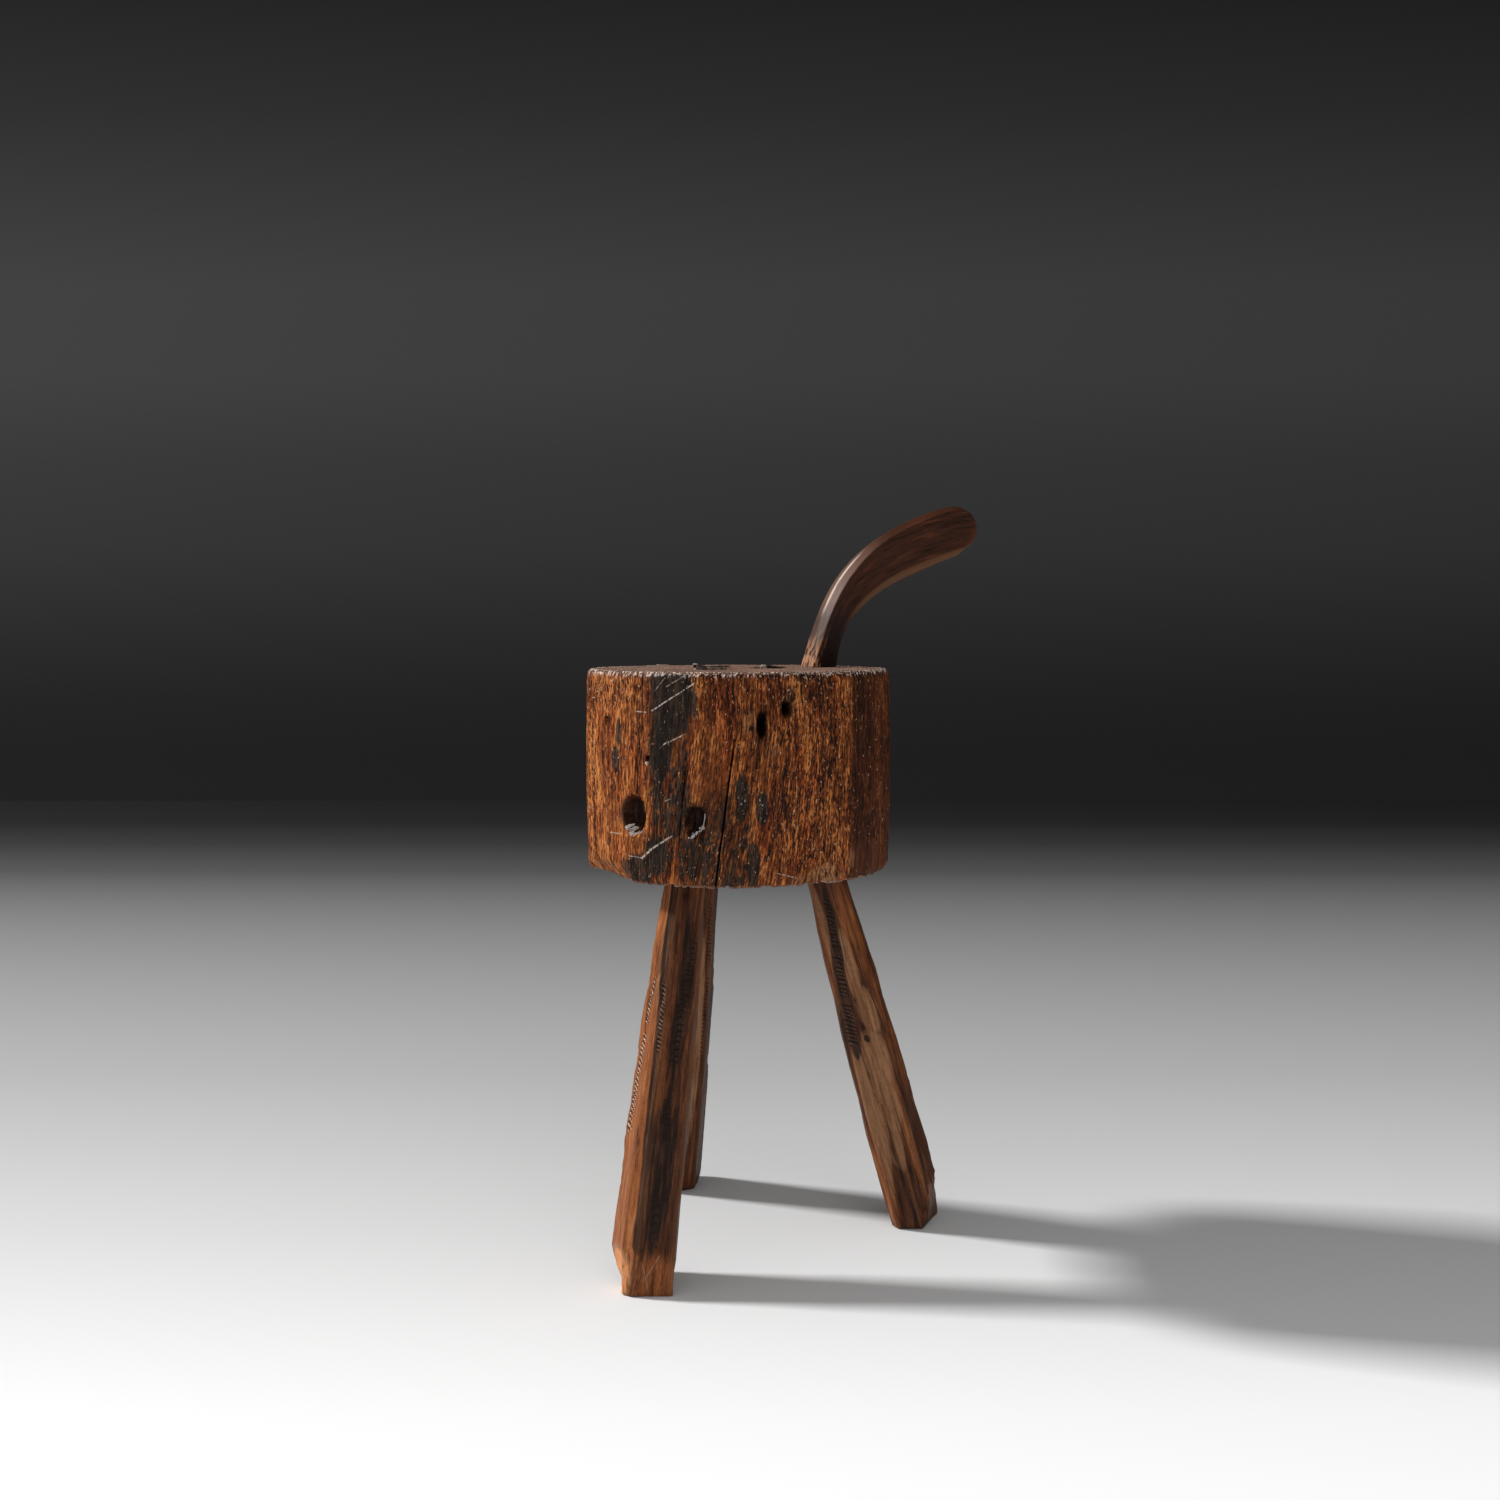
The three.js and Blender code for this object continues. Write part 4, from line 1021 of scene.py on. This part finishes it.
def leg_look(name):
    """Hewn wood, worn and waxed, with a paler edge along its ridges and tool marks: painted shade in the notches and
    dark lines, painted glints beside the notches and on the tenons' ends, and where a lit edge is given, a side painted
    lit and a strip past it painted shade.
    """
    look = Look(bpy.data.materials.new("hewn_wood_" + name))
    grain = look.attribute("grain")
    dark, pale, orange = look.parts(look.attribute("marks"))
    end_grain, ridge, tick = look.parts(look.attribute("finish"))
    # the leg unrolled: millimetres round it from +X, and up from the floor
    across, back, height = look.parts(grain)
    turn = back.calc("ARCTAN2", across) + radians(LEGS[name]["azimuth"])
    turn = turn.calc("WRAP", pi, -pi)
    unrolled = look.node("ShaderNodeCombineXYZ", inputs={0: turn * LEG_RADIUS, 1: height / MM})
    wide = look.noise(11, 80)
    streaks = look.noise(3, 44, 4)
    fibres = look.noise(1.3, 18, 2)
    speckle = look.noise(1.6, 2.6, 2)
    tone = 0.5 + (wide - 0.5) * 1.2 + (streaks - 0.5) * 1.2 + (fibres - 0.5) * 0.9 + (speckle - 0.5) * 0.4
    look.colour = look.blend(tone.rise(0.1, 0.5), (0.018, 0.0065, 0.0035), (0.07, 0.022, 0.008))
    look.paint(tone.rise(0.5, 0.95), (0.17, 0.06, 0.023))
    warm = look.blend(tone.rise(0.15, 0.6), (0.085, 0.023, 0.007), (0.26, 0.082, 0.024))
    warm = look.blend(tone.rise(0.62, 0.95), warm, (0.4, 0.16, 0.06))
    # orange patches, and the side that catches the light painted lit
    look.paint(orange, warm)
    light = look.blend(tone.rise(0.2, 0.75), (0.19, 0.078, 0.03), (0.36, 0.18, 0.09))
    look.paint((pale + (streaks - 0.5) * 0.9).rise(0.25, 0.6) * (pale.minimum(1) * 0.9), light)
    look.paint(pale.rise(1, 1.5) * tone.rise(0.1, 0.6), (0.6, 0.23, 0.085))
    dark_tone = look.blend(tone.rise(0.3, 0.8), (0.016, 0.008, 0.005), (0.06, 0.025, 0.013))
    # dark patches, and the painted shade just past the lit side
    look.paint((dark + (0.5 - streaks) * 1.2).rise(0.3, 0.75) * 0.9, dark_tone)
    look.paint(ridge * 0.25, (0.3, 0.14, 0.07))
    broken = streaks.rise(0.3, 0.5)
    # dark lines painted with shade, and pale scratches
    for kind, shade in (("dark_lines", PAINTED_SHADE), ("pale_lines", (0.55, 0.36, 0.24))):
        for first, last, width, strength in LEGS[name][kind]:
            line = look.near_line(unrolled, LEG_RADIUS, (first, last), width)
            look.paint(line * broken * strength, shade)
    # painted shade inside the notches
    look.paint(tick.rise(0.15, 0.45) * 0.9, PAINTED_SHADE)
    # painted glints on the burrs beside the notches
    glint = look.parts(look.attribute("wear"))[1]
    look.paint(glint.rise(0.1, 0.5) * speckle.rise(0.36, 0.5) * 0.85, (0.62, 0.45, 0.34))
    rings = look.noise(2.2, 40, 3)
    end = look.blend(rings.rise(0.35, 0.65), (0.01, 0.006, 0.005), (0.035, 0.022, 0.016))
    # a painted highlight on the end of each proud tenon
    end = look.blend(glint * rings.rise(0.42, 0.52), end, (0.42, 0.35, 0.28))
    look.paint(end_grain, end)
    height = streaks * 0.3 + fibres * 0.4 + speckle * 0.15
    look.finish(0.42 + 0.14 * fibres + 0.2 * end_grain, height, 0.35, 0.13)
    return look.owner


def handle_look():
    """Dark wood that hands have polished, with paler chamfers, a painted sheen on its outer flats, a worn crest with a
    painted highlight, and a chipped foot painted lit on one side and shaded on the other.
    """
    look = Look(bpy.data.materials.new("handle_wood"))
    at_foot, outer_flat, chamfer = look.parts(look.attribute("marks"))
    _, crest, share = look.parts(look.attribute("finish"))
    lit_side = look.parts(look.attribute("wear"))[1]
    wide = look.noise(9, 50)
    streaks = look.noise(2.6, 40, 4)
    fibres = look.noise(1.2, 16, 2)
    tone = 0.5 + (wide - 0.5) * 1.1 + (streaks - 0.5) * 1.1 + (fibres - 0.5) * 0.6
    look.colour = look.blend(tone.rise(0.15, 0.55), (0.018, 0.006, 0.003), (0.05, 0.0155, 0.0065))
    look.paint(tone.rise(0.55, 0.9), (0.11, 0.032, 0.012))
    look.paint(chamfer * 0.7, (0.15, 0.066, 0.026))
    # the outer flats: darker at the foot and tip, paler in the arm's middle where a sheen is painted on
    flat_tone_and_sheen = look.blend(share.rise(0.14, 0.24), (0.06, 0.032, 0.022), (0.16, 0.082, 0.055))
    flat_tone_and_sheen = look.blend(share.rise(0.34, 0.56), flat_tone_and_sheen, (0.055, 0.0155, 0.007))
    look.paint(outer_flat * 0.7, flat_tone_and_sheen)
    look.paint(share.rise(0.9, 0.97) * 0.5, (0.13, 0.036, 0.013))
    # painted shade on the foot's side away from the light
    look.paint((1 - lit_side) * share.rise(0.36, 0.12) * 0.9, PAINTED_SHADE)
    # a pale line along the crest of the outer edge: wear, with a painted highlight on it
    worn = crest * share.rise(0.16, 0.22) * share.rise(0.46, 0.36) * streaks.rise(0.3, 0.5)
    look.paint(worn, (0.5, 0.4, 0.33))
    # the chipped foot, painted only on the side that faces the light, so lit there
    chips = (look.noise(2.6, 12, 4) + 0.05 * at_foot).rise(0.46, 0.6)
    foot = look.blend(chips, (0.04, 0.016, 0.009), (0.44, 0.21, 0.11))
    look.paint(at_foot * lit_side * 0.9, foot)
    look.finish(0.42 + 0.2 * fibres + 0.2 * at_foot, streaks * 0.4 + fibres * 0.4, 0.25, 0.16)
    return look.owner


def wedge_look():
    """Split wood, dry and dirty."""
    look = Look(bpy.data.materials.new("wedge_wood"))
    lumps = look.noise(2, 12, 4)
    look.colour = look.blend(lumps.rise(0.35, 0.7), (0.09, 0.055, 0.035), (0.36, 0.25, 0.17))
    look.finish(0.75, lumps, 0.3)
    return look.owner


log_wood = log_look()
hewn_wood = {name: leg_look(name) for name in LEGS}
handle_wood = handle_look()
wedge_wood = wedge_look()


def hand_over(piece, node, material):
    """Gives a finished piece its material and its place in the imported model."""
    piece.data.materials.clear()
    piece.data.materials.append(material)
    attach(piece, "root")
    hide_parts(node)


hand_over(seat, "seat_block", log_wood)
for name, leg in legs.items():
    hand_over(leg, "leg_" + name, hewn_wood[name])
for node, wedge in wedges.items():
    hand_over(wedge, node, wedge_wood)
hand_over(handle, "handle", handle_wood)


# Studio. Its lengths are in metres.

KEY_LIGHT = {"azimuth": 168.4, "elevation": 37, "distance": 12, "size": 1.2, "power": 1660}
FILL_LIGHT = {"azimuth": -70, "elevation": 40, "distance": 2.6, "size": 1.2, "power": 4}
LAMP_AIM = 0.3  # height of the point that both lamps face
WORLD_LEVEL = 0.41
WORLD_LEVEL_SEEN = 0.02  # where the camera or a reflection looks past the backdrop

# How pale the floor is, by its distance behind the stool, and the backdrop, by its height. The floor's grey is a
# painted pool of light, palest in front of the stool and darkening behind it.
FLOOR_TONES = (
    (-0.42, 0.95), (-0.3, 0.9), (-0.15, 0.785), (0, 0.665), (0.2, 0.545), (0.45, 0.43), (0.75, 0.345), (1.1, 0.262),
    (1.5, 0.175), (1.9, 0.083), (2.3, 0.04), (2.7, 0.02), (3.2, 0.016),
)
BACKDROP_TONES = (
    (0, 0.041), (0.15, 0.037), (0.3, 0.039), (0.5, 0.049), (0.75, 0.064), (1, 0.069), (1.25, 0.082), (1.5, 0.079),
    (1.75, 0.059), (2, 0.04), (2.3, 0.026),
)
SHEET_HALF_WIDTH = 8
FLOOR_LEVEL = -0.5 * MM
FLOOR_FRONT = -6
BACKDROP_DISTANCE = 3.2
BACKDROP_TOP = 5


def add_lamp(name, lamp):
    """A square lamp that faces the stool."""
    elevation = radians(lamp["elevation"])
    toward = polar(lamp["azimuth"], cos(elevation), sin(elevation))
    light = add_object(name, bpy.data.lights.new(name, "AREA"))
    light.data.size = lamp["size"]
    light.data.energy = lamp["power"]
    light.location = toward * lamp["distance"] + Vector((0, 0, LAMP_AIM))
    light.rotation_euler = toward.to_track_quat("Z", "Y").to_euler()


def add_stage(name, middle, tilt, half_depth, axis, tones):
    """A flat sheet behind or under the stool, whose grey changes along one axis."""
    body = bmesh.new()
    turn = Euler((radians(tilt), 0, 0))
    matrix = Matrix.LocRotScale(Vector(middle), turn, Vector((SHEET_HALF_WIDTH, half_depth, 1)))
    bmesh.ops.create_grid(body, x_segments=1, y_segments=1, size=1, matrix=matrix)
    mesh = bpy.data.meshes.new(name)
    body.to_mesh(mesh)
    body.free()
    look = Look(bpy.data.materials.new(name))
    grey = look.along(look.parts(look.node("ShaderNodeTexCoord", output="Object"))[axis], tones)
    look.colour = look.node("ShaderNodeCombineColor", inputs={0: grey, 1: grey, 2: grey})
    look.finish(1, shine=0)
    mesh.materials.append(look.owner)
    sheet = add_object(name, mesh)


add_lamp("key", KEY_LIGHT)
add_lamp("fill", FILL_LIGHT)
floor_middle = (0, (BACKDROP_DISTANCE + FLOOR_FRONT) / 2, FLOOR_LEVEL)
add_stage("floor", floor_middle, 0, (BACKDROP_DISTANCE - FLOOR_FRONT) / 2, 1, FLOOR_TONES)
backdrop_middle = (0, BACKDROP_DISTANCE, (BACKDROP_TOP + FLOOR_LEVEL) / 2)
add_stage("backdrop", backdrop_middle, 90, (BACKDROP_TOP - FLOOR_LEVEL) / 2, 2, BACKDROP_TONES)

world = Look(bpy.data.worlds.new("studio"))
seen, reflected = (world.node("ShaderNodeLightPath", output=f"Is {kind} Ray") for kind in ("Camera", "Glossy"))
levels = {"Value": seen.maximum(reflected), "To Min": WORLD_LEVEL, "To Max": WORLD_LEVEL_SEEN}
world.put(world.tree.nodes["Background"].inputs["Color"], world.node("ShaderNodeMapRange", inputs=levels))
bpy.context.scene.world = world.owner

camera_data = bpy.data.cameras.new("camera")
camera_data.lens = CAMERA_LENS
camera_data.sensor_width = 36
camera_data.sensor_fit = "HORIZONTAL"
camera_data.clip_start = 0.01
camera = add_object("camera", camera_data)
camera.location = CAMERA_PLACE * MM
camera.rotation_euler = (radians(90 - CAMERA_PITCH), 0, 0)
bpy.context.scene.camera = camera
bpy.context.scene.view_settings.view_transform = "Standard"
